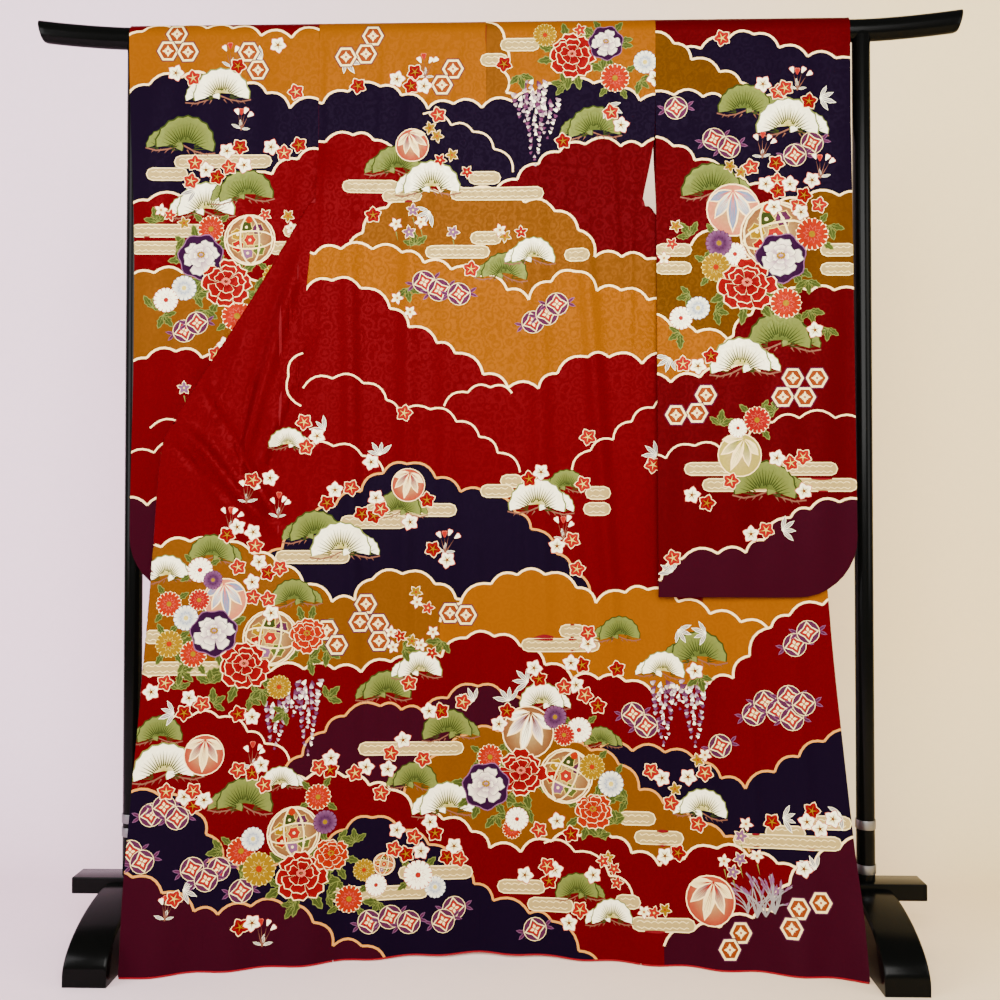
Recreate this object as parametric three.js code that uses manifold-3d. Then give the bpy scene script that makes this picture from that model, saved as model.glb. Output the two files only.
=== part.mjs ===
// Furisode (long-sleeved kimono) hung on a lacquered kimono stand, its back turned to -Y.
// Millimetres, +Z up. The origin is on the floor, midway between the stand's feet.
// "Left" and "right" are as seen from -Y, which are also the wearer's left and right.
import * as THREE from "three";
import { mergeVertices } from "three/addons/utils/BufferGeometryUtils.js";
import Module from "manifold-3d";

const wasm = await Module();
wasm.setup();

// ---- Driving sizes of the stand -------------------------------------------------------------
const BAR = { halfLength: 835, halfDepth: 15, halfHeight: 20, z: 1630, bendFrom: 640, rise: 16 };
const POST = { x: 655, radius: 16, domeHeight: 12, top: 1630, sides: 18 };
const RAIL = { halfLength: 754, depth: 48, height: 29, z: 88, bevel: 2 };
const FOOT = { x: 657, width: 72, halfLength: 195, endHeight: 26, height: 108, bevel: 5 };
const RING = { wall: 1.2, height: 16 };
const RINGS = [
  { name: "ring_left_upper", side: -1, z: 210 },
  { name: "ring_left_lower", side: -1, z: 186 },
  { name: "ring_right_upper", side: 1, z: 208 },
  { name: "ring_right_lower", side: 1, z: 130 },
];
const SEAT = 0.3; // clearance left between parts that touch

// ---- Driving sizes of the kimono ------------------------------------------------------------
const WALL = 1.5; // cloth with its lining
const SEAM_GAP = 0.3;
const RIDGE = { y: 18.7, z: 23.2 }; // outer half axes of the fold over the bar
const CENTRE = -15; // centre back seam
const BACK_WIDTH = 302; // centre seam to armhole
const SLEEVE = { width: 345, length: 1032, corner: 105, wristOpening: 230, attached: 205 };
const COLLAR_WIDTH = 55;
const SLIT_ROWS = [1500, 1440, 1410, 1385, 1362, 1340]; // heights down the far side, to the slit
const NECKLINE = [
  { out: 0, z: 1592 }, { out: 36, z: 1588 }, { out: 66, z: 1577 }, { out: 84, z: 1560 },
  { out: 90, z: 1540 },
];
const TURN = 4; // thickness of a turned-back edge: two walls and the air between
const UNDER = { back: 4, over: 70 }; // how far a turned-back layer falls away from its edge
const HEM = { z: 5, lift: 5, liftWidth: 150, ripple: 5, rippleLength: 118, rippleHeight: 170 };
const LINING = { depth: 2.4, height: 3, inset: 0.3 };
// Heights where a sleeve's two layers meet and part, at its armhole and at its wrist edge.
const SLEEVE_LAYERS = { armhole: { join: 1290, part: 1440 }, wrist: { join: 1385, part: 1505 } };
const ATTACHED_TO = 1440; // lowest height at which a sleeve is sewn to the body
const BESIDE_POST = 312; // width of the left sleeve's far layer where it passes the post
const TOP = BAR.z;

// Side lines of each half, as x at a height: the side seam, the outer edge of the spread front
// with its turned-back diagonal, and the width of the overlap panel that shows.
const LEFT = {
  side: -1,
  flare: { centre: 64, edge: 100, bend: 1.5, power: 2.5 },
  forward: 9,
  seam: [
    { z: 1640, x: -317 }, { z: 1440, x: -317 }, { z: 1333, x: -320 }, { z: 1252, x: -327 },
    { z: 1136, x: -337 }, { z: 957, x: -341 }, { z: 823, x: -340 }, { z: 682, x: -326 },
    { z: 526, x: -297 }, { z: 270, x: -277 }, { z: 0, x: -274 },
  ],
  edge: [
    { z: 1325, x: -327 }, { z: 1136, x: -439 }, { z: 930, x: -566 }, { z: 894, x: -584 },
    { z: 823, x: -592 }, { z: 707, x: -596 }, { z: 528, x: -603 }, { z: 296, x: -612 },
    { z: 120, x: -615 }, { z: 0, x: -613 },
  ],
  overlap: [
    { z: 934, x: 0 }, { z: 850, x: 60 }, { z: 700, x: 95 }, { z: 500, x: 118 },
    { z: 200, x: 130 }, { z: 0, x: 132 },
  ],
  armhole: [
    { z: 1640, x: -317 }, { z: 1440, x: -317 }, { z: 1390, x: -296 }, { z: 1350, x: -301 },
    { z: 1325, x: -324 },
  ],
  // The part of the front that hangs on the far side and passes behind the diagonal.
  hidden: [
    { z: 1540, panel: -105, overlap: -105 }, { z: 1440, panel: -100, overlap: -100 },
    { z: 1390, panel: -102, overlap: -98 }, { z: 1333, panel: -112, overlap: -98 },
    { z: 1252, panel: -195, overlap: -160 }, { z: 1136, panel: -306, overlap: -236 },
    { z: 1040, panel: -425, overlap: -334 }, { z: 957, panel: -532, overlap: -415 },
    { z: 930, panel: -560, overlap: -440 }, { z: 823, panel: -592, overlap: -499 },
    { z: 707, panel: -596, overlap: -523 }, { z: 528, panel: -603, overlap: -570 },
    { z: 440, panel: -606, overlap: -592 },
  ],
  turnEnd: 934, // height where the diagonal leaves the body panel
  overlapTurnEnd: 450,
  collarEnd: 925,
};
const RIGHT = {
  side: 1,
  flare: { centre: 64, edge: 82, bend: 1.4, power: 4 },
  forward: 0,
  seam: [
    { z: 1640, x: 286 }, { z: 1451, x: 284 }, { z: 1326, x: 263 }, { z: 1225, x: 243 },
    { z: 1161, x: 229 }, { z: 1040, x: 216 }, { z: 912, x: 215 }, { z: 770, x: 227 },
    { z: 647, x: 242 }, { z: 525, x: 249 }, { z: 0, x: 248 },
  ],
  edge: [
    { z: 1318, x: 270 }, { z: 1058, x: 442 }, { z: 925, x: 530 }, { z: 850, x: 556 },
    { z: 750, x: 571 }, { z: 618, x: 581 }, { z: 528, x: 586 }, { z: 344, x: 598 },
    { z: 199, x: 606 }, { z: 88, x: 612 }, { z: 0, x: 611 },
  ],
  overlap: [
    { z: 1060, x: 0 }, { z: 925, x: 80 }, { z: 800, x: 125 }, { z: 618, x: 140 },
    { z: 344, x: 146 }, { z: 199, x: 133 }, { z: 0, x: 131 },
  ],
  armhole: [
    { z: 1640, x: 286 }, { z: 1445, x: 284 }, { z: 1390, x: 262 }, { z: 1350, x: 252 },
    { z: 1318, x: 267 },
  ],
  hidden: [
    { z: 1540, panel: 75, overlap: 75 }, { z: 1440, panel: 70, overlap: 70 },
    { z: 1390, panel: 72, overlap: 68 }, { z: 1326, panel: 84, overlap: 70 },
    { z: 1252, panel: 148, overlap: 113 }, { z: 1136, panel: 326, overlap: 256 },
    { z: 1060, panel: 438, overlap: 346 }, { z: 1040, panel: 454, overlap: 366 },
    { z: 925, panel: 530, overlap: 492 }, { z: 860, panel: 553, overlap: 536 },
  ],
  turnEnd: 1064,
  overlapTurnEnd: 868,
  collarEnd: 930,
};

// Soft folds of the hanging cloth: each runs from (x0, z0) down to (x1, z1).
const FOLDS = [
  { x0: -148, z0: 1570, x1: -165, z1: 300, width: 17, depth: 5 },
  { x0: -262, z0: 1300, x1: -245, z1: 380, width: 16, depth: 6 },
  { x0: -82, z0: 1250, x1: -92, z1: 120, width: 20, depth: 4 },
  { x0: 74, z0: 1500, x1: 90, z1: 100, width: 18, depth: 4.5 },
  { x0: 158, z0: 1280, x1: 208, z1: 540, width: 15, depth: 6 },
  { x0: -352, z0: 1210, x1: -446, z1: 860, width: 15, depth: 6 },
  { x0: -540, z0: 910, x1: -405, z1: 745, width: 17, depth: 8 },
  { x0: -400, z0: 620, x1: -372, z1: 40, width: 20, depth: 5 },
  { x0: 360, z0: 560, x1: 372, z1: 30, width: 20, depth: 5 },
];

// ---- Small helpers --------------------------------------------------------------------------
const mix = (a, b, t) => a + (b - a) * t;
const clamp01 = (t) => Math.min(1, Math.max(0, t));
function smooth(from, to, value) {
  const t = clamp01((value - from) / (to - from));
  return t * t * (3 - 2 * t);
}
const steps = (count, from = 0, to = 1) =>
  Array.from({ length: count + 1 }, (_, i) => mix(from, to, i / count));

// Value of a table's column at a height, on a smooth curve through its rows (heights fall).
function at(rows, z, column = "x") {
  const last = rows.length - 1;
  if (z >= rows[0].z) return rows[0][column];
  if (z <= rows[last].z) return rows[last][column];
  const i = rows.findIndex((row) => row.z < z) - 1;
  const rate = (k) => (rows[k + 1][column] - rows[k][column]) / (rows[k + 1].z - rows[k].z);
  const slope = (k) => {
    if (k === 0 || k === last) return rate(Math.min(k, last - 1));
    const [above, below] = [rate(k - 1), rate(k)];
    return above * below > 0 ? (2 * above * below) / (above + below) : 0;
  };
  const span = rows[i + 1].z - rows[i].z;
  const t = (z - rows[i].z) / span;
  const bend = t * t * (3 - 2 * t);
  const out = t * (1 - t) * (1 - t) * span * slope(i);
  const back = t * t * (t - 1) * span * slope(i + 1);
  return mix(rows[i][column], rows[i + 1][column], bend) + out + back;
}

// ---- Closed geometry ------------------------------------------------------------------------
function geometryOf(positions, triangles) {
  const geometry = new THREE.BufferGeometry();
  geometry.setAttribute("position", new THREE.Float32BufferAttribute(positions, 3));
  geometry.setIndex(triangles);
  geometry.computeVertexNormals();
  return geometry;
}

function solidOf(geometry) {
  const bare = geometry.clone();
  bare.deleteAttribute("normal");
  bare.deleteAttribute("uv");
  const merged = mergeVertices(bare, 1e-4);
  const mesh = new wasm.Mesh({
    numProp: 3,
    vertProperties: new Float32Array(merged.attributes.position.array),
    triVerts: new Uint32Array(merged.index.array),
  });
  return new wasm.Manifold(mesh);
}

function geometryFrom(solid) {
  const mesh = solid.getMesh();
  return geometryOf(Array.from(mesh.vertProperties), Array.from(mesh.triVerts));
}

const joined = (geometries) =>
  geometryFrom(geometries.map(solidOf).reduce((whole, piece) => whole.add(piece)));

// A wall of even thickness behind a grid of outer points, each with its outward direction. Rows and
// columns are laid so that (next column - this) x (next row - this) points outward. The long edges
// are cut square to X and the ends square to Z, so that neighbouring panels keep their seam gap
// through the wall.
function wall(grid, thickness = WALL) {
  const rows = grid.length;
  const columns = grid[0].length;
  const positions = grid.flatMap((row) => row.flatMap(({ p }) => [p.x, p.y, p.z]));
  grid.forEach((row, i) =>
    row.forEach(({ p, n }, j) => {
      const isEdge = j === 0 || j === columns - 1;
      const isEnd = i === 0 || i === rows - 1;
      const inward = new THREE.Vector3(isEdge ? 0 : n.x, n.y, isEnd ? 0 : n.z);
      inward.divideScalar(Math.max(inward.lengthSq(), 0.25));
      const inner = p.clone().addScaledVector(inward, -thickness);
      positions.push(inner.x, inner.y, inner.z);
    }),
  );
  const outer = (i, j) => i * columns + j;
  const inner = (i, j) => rows * columns + i * columns + j;
  const triangles = [];
  const quad = (a, b, c, d) => triangles.push(a, b, c, a, c, d);
  for (let i = 0; i < rows - 1; i++) {
    for (let j = 0; j < columns - 1; j++) {
      quad(outer(i, j), outer(i, j + 1), outer(i + 1, j + 1), outer(i + 1, j));
      quad(inner(i, j), inner(i + 1, j), inner(i + 1, j + 1), inner(i, j + 1));
    }
    quad(outer(i, 0), outer(i + 1, 0), inner(i + 1, 0), inner(i, 0));
    const j = columns - 1;
    quad(outer(i + 1, j), outer(i, j), inner(i, j), inner(i + 1, j));
  }
  for (let j = 0; j < columns - 1; j++) {
    quad(outer(0, j + 1), outer(0, j), inner(0, j), inner(0, j + 1));
    const i = rows - 1;
    quad(outer(i, j), outer(i, j + 1), inner(i, j + 1), inner(i, j));
  }
  return geometryOf(positions, triangles);
}

// A solid through rings of points, each ring in its own plane, closed at both ends.
function loft(rings) {
  const count = rings[0].length;
  const positions = rings.flatMap((ring) => ring.flatMap((p) => [p.x, p.y, p.z]));
  const triangles = [];
  for (let i = 0; i < rings.length - 1; i++) {
    for (let j = 0; j < count; j++) {
      const k = (j + 1) % count;
      const [a, b, c, d] = [i * count + j, i * count + k, (i + 1) * count + k, (i + 1) * count + j];
      triangles.push(a, b, c, a, c, d);
    }
  }
  const end = (rings.length - 1) * count;
  for (let j = 1; j < count - 1; j++) {
    triangles.push(0, j + 1, j);
    triangles.push(end, end + j, end + j + 1);
  }
  return geometryOf(positions, triangles);
}

// ---- Cloth surfaces: y of the outer face at (x, z) --------------------------------------------
function foldsAt(x, z) {
  let push = 0;
  for (const fold of FOLDS) {
    const t = (fold.z0 - z) / (fold.z0 - fold.z1);
    if (t <= -0.15 || t >= 1.15) continue;
    const away = (x - mix(fold.x0, fold.x1, t)) / fold.width;
    const ends = smooth(-0.15, 0.2, t) * (1 - smooth(0.8, 1.15, t));
    push += fold.depth * ends * Math.exp(-away * away);
  }
  return push;
}

// The spread cloth that faces -Y: straight below the bar, swept forward towards the hem.
function evenY(x, z) {
  const half = x < CENTRE ? LEFT : RIGHT;
  const reach = Math.abs(x - CENTRE) / 600;
  const flare = half.flare.centre + half.flare.edge * reach ** half.flare.bend - RIDGE.y;
  const power = mix(LEFT.flare.power, RIGHT.flare.power, smooth(-120, 280, x));
  const fall = clamp01((TOP - z) / TOP) ** power;
  const lift = LEFT.forward * smooth(-225, -316, x) * smooth(1450, 1340, z);
  return -RIDGE.y - flare * fall - lift;
}

function frontY(x, z) {
  const low = 1 - smooth(0, HEM.rippleHeight, z);
  const ripple = HEM.ripple * low * Math.sin((x * 2 * Math.PI) / HEM.rippleLength);
  return evenY(x, z) - foldsAt(x, z) - ripple;
}

// The far layer of a front: behind the diagonal, through the slit below the sleeve, then back.
function farY(half, x, z) {
  const slit = half.side < 0 ? -317 : 262;
  const behind = smooth(0, 42, (x - slit) * -half.side);
  const far = RIDGE.y - 16 * smooth(ATTACHED_TO, 1150, z);
  const fromEdge = (at(half.edge, z) - x) * half.side;
  const under = evenY(x, z) + TURN + UNDER.back * smooth(0, UNDER.over, fromEdge);
  const crossed = mix(under, far, behind);
  return mix(far, crossed, smooth(1430, 1345, z));
}

// A point of a hanging sheet y(x, z) whose outer face looks to -Y (facingSide -1) or +Y (1).
function hung(x, z, sheet, facingSide) {
  const slopeX = (sheet(x + 1, z) - sheet(x - 1, z)) / 2;
  const slopeZ = (sheet(x, z + 1) - sheet(x, z - 1)) / 2;
  const n = new THREE.Vector3(-slopeX, 1, -slopeZ).normalize().multiplyScalar(facingSide);
  return { p: new THREE.Vector3(x, sheet(x, z), z), n };
}

// A point of the rounded fold over the bar: angle 0 on the near side, pi on the far side.
function overBar(x, angle) {
  const [c, s] = [Math.cos(angle), Math.sin(angle)];
  const p = new THREE.Vector3(x, -RIDGE.y * c, TOP + RIDGE.z * s);
  return { p, n: new THREE.Vector3(0, -c / RIDGE.y, s / RIDGE.z).normalize() };
}

const FOLD_ANGLES = steps(8, 0, Math.PI).slice(1, -1);
const near = (x, z) => hung(x, z, frontY, -1);
const far = (half, x, z) => hung(x, z, (px, pz) => farY(half, px, pz), 1);

const hemZ = (x) => HEM.z + HEM.lift * Math.exp(-(((x - CENTRE) / HEM.liftWidth) ** 2));

// ---- Kimono: body panels ----------------------------------------------------------------------
const gapSide = (half) => (half.side * SEAM_GAP) / 2;

// Orders each row so that the wall's outer face looks outward.
const facing = (grid, side) => (side > 0 ? grid : grid.map((row) => [...row].reverse()));

const spreadTop = (half) => half.edge[0].z - 6;

// Levels of the near rows, shared by the panels that meet along the side and front seams. The hem
// lifts a little at the centre back, and the rows above it follow.
const overlapTop = (half) => half.turnEnd - 8;
const lowLevels = (half) => steps(12, HEM.z, overlapTop(half));
const highLevels = (half) => steps(6, overlapTop(half), spreadTop(half)).slice(1);
const rowZ = (x, level) => level + (hemZ(x) - HEM.z) * (1 - smooth(HEM.z, 400, level));

// Heights of the hidden rows, shared in the same way.
function hiddenHeights(half) {
  const [top, bottom] = [spreadTop(half), half.turnEnd + 14];
  return [...SLIT_ROWS, ...steps(Math.round((top - bottom) / 22), top, bottom)];
}
function overlapHeights(half) {
  const [top, bottom] = [overlapTop(half), half.overlapTurnEnd];
  return [...hiddenHeights(half), ...steps(Math.round((top - bottom) / 60) + 2, top, bottom)];
}

// Back, fold over the bar, far side, and the part that passes behind the diagonal: one length of
// cloth without a shoulder seam.
function bodyLength(half) {
  const across = steps(11);
  const inner = CENTRE + gapSide(half);
  const outer = (z) => at(half.seam, z) - gapSide(half);
  const topLevels = steps(4, spreadTop(half), TOP).slice(1);
  const back = [...lowLevels(half), ...highLevels(half), ...topLevels].map((level) =>
    across.map((u) => {
      const x = mix(inner, outer(level), u);
      return near(x, rowZ(x, level));
    }),
  );
  const fold = FOLD_ANGLES.map((angle) => across.map((u) => overBar(mix(inner, outer(TOP), u), angle)));
  const shoulder = [{ out: 0, z: TOP }, { out: 0, z: 1606 }, ...NECKLINE].map(({ out, z }) =>
    across.map((u) => far(half, mix(inner + half.side * out, outer(TOP), u), z)),
  );
  const front = hiddenHeights(half).map((z) => {
    const start = at(half.hidden, z, "panel") + gapSide(half);
    const end = z > spreadTop(half) ? at(half.armhole, z) - gapSide(half) : at(half.edge, z);
    return across.map((u) => far(half, mix(start, end, u), z));
  });
  return wall(facing([...back, ...fold, ...shoulder, ...front], half.side));
}

// A rounded edge where cloth is turned back on itself, along the half's outer edge.
function turnedEdge(half, top, bottom, count) {
  const radius = TURN / 2;
  const rings = steps(count, top, bottom).map((z) => {
    const x = at(half.edge, z);
    const y = frontY(x, z) + radius;
    return steps(6).slice(0, -1).map((t) => {
      const angle = -2 * Math.PI * t;
      return new THREE.Vector3(x + radius * Math.cos(angle), y + radius * Math.sin(angle), z);
    });
  });
  return loft(rings);
}

// The front panel that is spread out beside the back.
function spreadFront(half) {
  const rows = [...lowLevels(half), ...highLevels(half)].map((level) =>
    steps(8).map((u) => {
      const seam = at(half.seam, level) + gapSide(half);
      const bound = at(half.edge, level) - half.side * at(half.overlap, level) - gapSide(half);
      const x = mix(seam, bound, u);
      return near(x, rowZ(x, level));
    }),
  );
  return wall(facing(rows, half.side));
}

const bodyPanel = (half) =>
  joined([
    bodyLength(half),
    spreadFront(half),
    turnedEdge(half, half.edge[0].z - 2, half.turnEnd + 6, 9),
  ]);

// ---- Kimono: overlap panels (okumi) -------------------------------------------------------------
function overlapPanel(half) {
  const shown = lowLevels(half).map((level) =>
    steps(4).map((u) => {
      const edge = at(half.edge, level);
      const x = mix(edge - half.side * at(half.overlap, level) + gapSide(half), edge, u);
      return near(x, rowZ(x, level));
    }),
  );
  const hidden = overlapHeights(half).filter((z) => z <= SLIT_ROWS[3]).map((z) => {
    const isFolded = z < half.turnEnd - 4;
    const start = isFolded ? at(half.edge, z) : at(half.hidden, z, "panel") - gapSide(half);
    const end = at(half.hidden, z, "overlap") + (z > half.collarEnd ? gapSide(half) : 0);
    return steps(3).map((u) => far(half, mix(start, end, u), z));
  });
  return joined([
    wall(facing(shown, half.side)),
    wall(facing(hidden, -half.side)),
    turnedEdge(half, overlapTop(half) - 1, half.overlapTurnEnd, 6),
  ]);
}

// ---- Kimono: collar ---------------------------------------------------------------------------
// One band from the end on the left front, round the back of the neck, to the end on the right.
// Each station is a point of the edge it is sewn to and the direction across the band.
function collarStations(half) {
  const front = overlapHeights(half).filter((z) => z > half.collarEnd).map((z) => {
    const edge = (level) => at(half.hidden, level, "overlap");
    const along = new THREE.Vector2((edge(z + 12) - edge(z - 12)) / 24, 1).normalize();
    return { half, x: edge(z), z, across: [-half.side * along.y, half.side * along.x] };
  });
  const neck = [...NECKLINE].reverse().map(({ out, z }, i, all) => {
    const angle = (i / (all.length - 1)) * (Math.PI / 2);
    const x = CENTRE + half.side * out;
    return { half, x, z, across: [-half.side * Math.cos(angle), -Math.sin(angle)] };
  });
  return [...front.reverse(), ...neck];
}

function collar() {
  const route = [...collarStations(LEFT), ...collarStations(RIGHT).reverse().slice(1)];
  const rows = route.map(({ half, x, z, across }) =>
    steps(3, COLLAR_WIDTH, SEAM_GAP).map((w) => far(half, x + across[0] * w, z + across[1] * w)),
  );
  return wall(rows);
}

// ---- Kimono: sleeves --------------------------------------------------------------------------
// One length of cloth folded over the bar: near layer, fold, far layer. Its two layers meet at the
// bottom and below the wrist opening, and part towards the bar.
function sleeve(half) {
  const isLeft = half.side < 0;
  const armhole = at(half.seam, TOP) + gapSide(half);
  const bottom = BAR.z + BAR.halfHeight - SLEEVE.length;
  const outwards = (x) => clamp01(Math.abs(x - armhole) / SLEEVE.width);
  const sheetNear = (x, z) => {
    const fall = isLeft ? outwards(x) * smooth(1550, 1400, z) : clamp01((1451 - z) / 831) ** 0.8;
    return -RIDGE.y - (isLeft ? 2.5 : 26.5) * fall;
  };
  const sheetFar = (x, z) => {
    const t = smooth(0, 0.6, outwards(x));
    const join = mix(SLEEVE_LAYERS.armhole.join, SLEEVE_LAYERS.wrist.join, t);
    const part = mix(SLEEVE_LAYERS.armhole.part, SLEEVE_LAYERS.wrist.part, t);
    return mix(sheetNear(x, z) + TURN, RIDGE.y, smooth(join, part, z));
  };
  const outerX = (z, isFar) => {
    const waist = isLeft ? 13 * smooth(1640, 1200, z) - 6 * smooth(1100, 700, z) : 0;
    const besidePost = isFar && isLeft && z > SLEEVE_LAYERS.wrist.join - 8;
    const width = besidePost ? BESIDE_POST : SLEEVE.width - waist;
    const fromCorner = Math.max(0, bottom + SLEEVE.corner - z);
    const rounding = SLEEVE.corner - Math.sqrt(Math.max(0, SLEEVE.corner ** 2 - fromCorner ** 2));
    return armhole + half.side * (width - rounding);
  };
  const corner = steps(5, 0, Math.PI / 2).map((a) => bottom + SLEEVE.corner * (1 - Math.cos(a)));
  const heights = [
    ...corner, ...steps(6, bottom + SLEEVE.corner, 1250).slice(1),
    1310, 1373, 1383, 1420, 1465, 1510, 1570, TOP,
  ];
  const across = steps(7);
  const layer = (isFar) => heights.map((z) =>
    across.map((u) => {
      const x = mix(armhole, outerX(z, isFar), u);
      return hung(x, z, isFar ? sheetFar : sheetNear, isFar ? 1 : -1);
    }),
  );
  const fold = FOLD_ANGLES.map((angle) =>
    across.map((u) => overBar(mix(armhole, outerX(TOP, angle > Math.PI / 2), u), angle)),
  );
  return wall(facing([...layer(false), ...fold, ...layer(true).reverse()], half.side));
}

// ---- Kimono: rolled edge of the lining along the hem --------------------------------------------
function hemLining(from, to, count) {
  const rings = steps(count, from, to).map((x) => {
    const z = hemZ(x) - LINING.inset;
    const y = frontY(x, z) + WALL / 2;
    const [d, h] = [LINING.depth / 2, LINING.height];
    return [[-d, 0], [-d, -h * 0.7], [0, -h], [d, -h * 0.7], [d, 0]].map(
      ([dy, dz]) => new THREE.Vector3(x, y + dy, z + dz),
    );
  });
  return loft(rings);
}

// ---- Stand --------------------------------------------------------------------------------------
const barRise = (x) => BAR.rise * clamp01((Math.abs(x) - BAR.bendFrom) / (BAR.halfLength - BAR.bendFrom)) ** 1.6;

function postProfile(clearance) {
  const r = POST.radius + clearance;
  const top = POST.top + clearance;
  const foot = RAIL.z + RAIL.height + SEAT - clearance;
  const dome = steps(4, 0, Math.PI / 2).map(
    (a) => new THREE.Vector2(r * Math.cos(a), top - POST.domeHeight + POST.domeHeight * Math.sin(a)),
  );
  dome[dome.length - 1].x = 0;
  return [new THREE.Vector2(0, foot), new THREE.Vector2(r, foot), ...dome];
}

function post(side, clearance = 0) {
  const geometry = new THREE.LatheGeometry(postProfile(clearance), POST.sides);
  geometry.rotateX(Math.PI / 2);
  geometry.translate(side * POST.x, 0, 0);
  return geometry;
}

function bar() {
  const bend = steps(6, BAR.bendFrom, BAR.halfLength);
  const stations = [...bend.map((x) => -x).reverse(), 0, ...bend];
  const rings = stations.map((x) => {
    const slant = Math.abs(x) === BAR.halfLength ? 0.22 * Math.sign(x) : 0;
    return steps(16).slice(0, -1).map((t) => {
      const angle = 2 * Math.PI * t;
      const y = BAR.halfDepth * Math.sign(Math.cos(angle)) * Math.abs(Math.cos(angle)) ** 0.8;
      const dz = BAR.halfHeight * Math.sign(Math.sin(angle)) * Math.abs(Math.sin(angle)) ** 0.8;
      return new THREE.Vector3(x + slant * (dz - BAR.halfHeight), y, BAR.z + barRise(x) + dz);
    });
  });
  const blank = solidOf(loft(rings));
  const sockets = [-1, 1].map((side) => solidOf(post(side, SEAT)));
  return geometryFrom(sockets.reduce((left, socket) => left.subtract(socket), blank));
}

function rail(clearance = 0) {
  const [hy, h] = [RAIL.depth / 2 + clearance, RAIL.height + 2 * clearance];
  const b = RAIL.bevel;
  const profile = new THREE.Shape([
    new THREE.Vector2(-hy + b, 0), new THREE.Vector2(hy - b, 0), new THREE.Vector2(hy, b),
    new THREE.Vector2(hy, h - b), new THREE.Vector2(hy - b, h), new THREE.Vector2(-hy + b, h),
    new THREE.Vector2(-hy, h - b), new THREE.Vector2(-hy, b),
  ]);
  const length = 2 * RAIL.halfLength;
  const geometry = new THREE.ExtrudeGeometry(profile, { depth: length, bevelEnabled: false });
  geometry.rotateX(Math.PI / 2);
  geometry.rotateZ(Math.PI / 2);
  geometry.translate(-RAIL.halfLength, 0, RAIL.z - clearance);
  return geometry;
}

// Arched runner, lying along Y, with the rail let into its top.
function foot(side) {
  const rings = steps(14, -1, 1).map((t) => {
    const y = FOOT.halfLength * Math.sin((t * Math.PI) / 2);
    const arch = Math.sqrt(Math.max(0, 1 - (y / FOOT.halfLength) ** 2)) ** 1.15;
    const top = FOOT.endHeight + (FOOT.height - FOOT.endHeight) * arch;
    const [w, b] = [FOOT.width / 2, FOOT.bevel];
    const section = [[-w, 0], [w, 0], [w, top - b], [w - b, top], [b - w, top], [-w, top - b]];
    return section.map(([dx, z]) => new THREE.Vector3(side * FOOT.x - dx, y, z));
  });
  return geometryFrom(solidOf(loft(rings)).subtract(solidOf(rail(SEAT))));
}

function ring(side, z) {
  const inner = POST.radius + SEAT;
  const outer = inner + RING.wall;
  const profile = [[inner, 0], [outer, 0], [outer, RING.height], [inner, RING.height], [inner, 0]];
  const points = profile.map(([r, h]) => new THREE.Vector2(r, z + h));
  const geometry = new THREE.LatheGeometry(points, POST.sides);
  geometry.rotateX(Math.PI / 2);
  geometry.translate(side * POST.x, 0, 0);
  return geometry;
}

// ---- Materials and assembly -----------------------------------------------------------------------
const finish = (color, roughness, metalness = 0) =>
  new THREE.MeshStandardMaterial({ color, roughness, metalness });
const SILK = finish(0xa80f16, 0.6);
const SILK_GOLD = finish(0xc98410, 0.6);
const CREPE_RED = finish(0xb3121c, 0.7);
const LACQUER = finish(0x0b0c0c, 0.15);
const METAL = finish(0x77777a, 0.4, 0.8);

const furisode = new THREE.Group();
function add(name, geometry, material) {
  const mesh = new THREE.Mesh(geometry, material);
  mesh.name = name;
  furisode.add(mesh);
}

add("body_left", bodyPanel(LEFT), SILK);
add("body_right", bodyPanel(RIGHT), SILK);
add("okumi_left", overlapPanel(LEFT), SILK_GOLD);
add("okumi_right", overlapPanel(RIGHT), SILK_GOLD);
add("collar", collar(), SILK);
add("sleeve_left", sleeve(LEFT), SILK_GOLD);
add("sleeve_right", sleeve(RIGHT), SILK_GOLD);
add("hem_lining_front_left", hemLining(-612, -275, 14), CREPE_RED);
add("hem_lining_back_left", hemLining(-273, -15.5, 12), CREPE_RED);
add("hem_lining_back_right", hemLining(-14.5, 247, 12), CREPE_RED);
add("hem_lining_front_right", hemLining(249, 610, 14), CREPE_RED);
add("stand_bar", bar(), LACQUER);
add("stand_rail", rail(), LACQUER);
for (const [label, side] of [["left", -1], ["right", 1]]) {
  add(`stand_post_${label}`, post(side), LACQUER);
  add(`stand_foot_${label}`, foot(side), LACQUER);
}
RINGS.forEach(({ name, side, z }) => add(name, ring(side, z), METAL));

export default furisode;
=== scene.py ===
"""Furisode on a lacquered kimono stand: cloth, painted pattern, lacquer, light and camera."""

import bmesh
import bpy
import math
import random
from collections import namedtuple
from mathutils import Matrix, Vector
from mathutils.geometry import delaunay_2d_cdt


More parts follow.
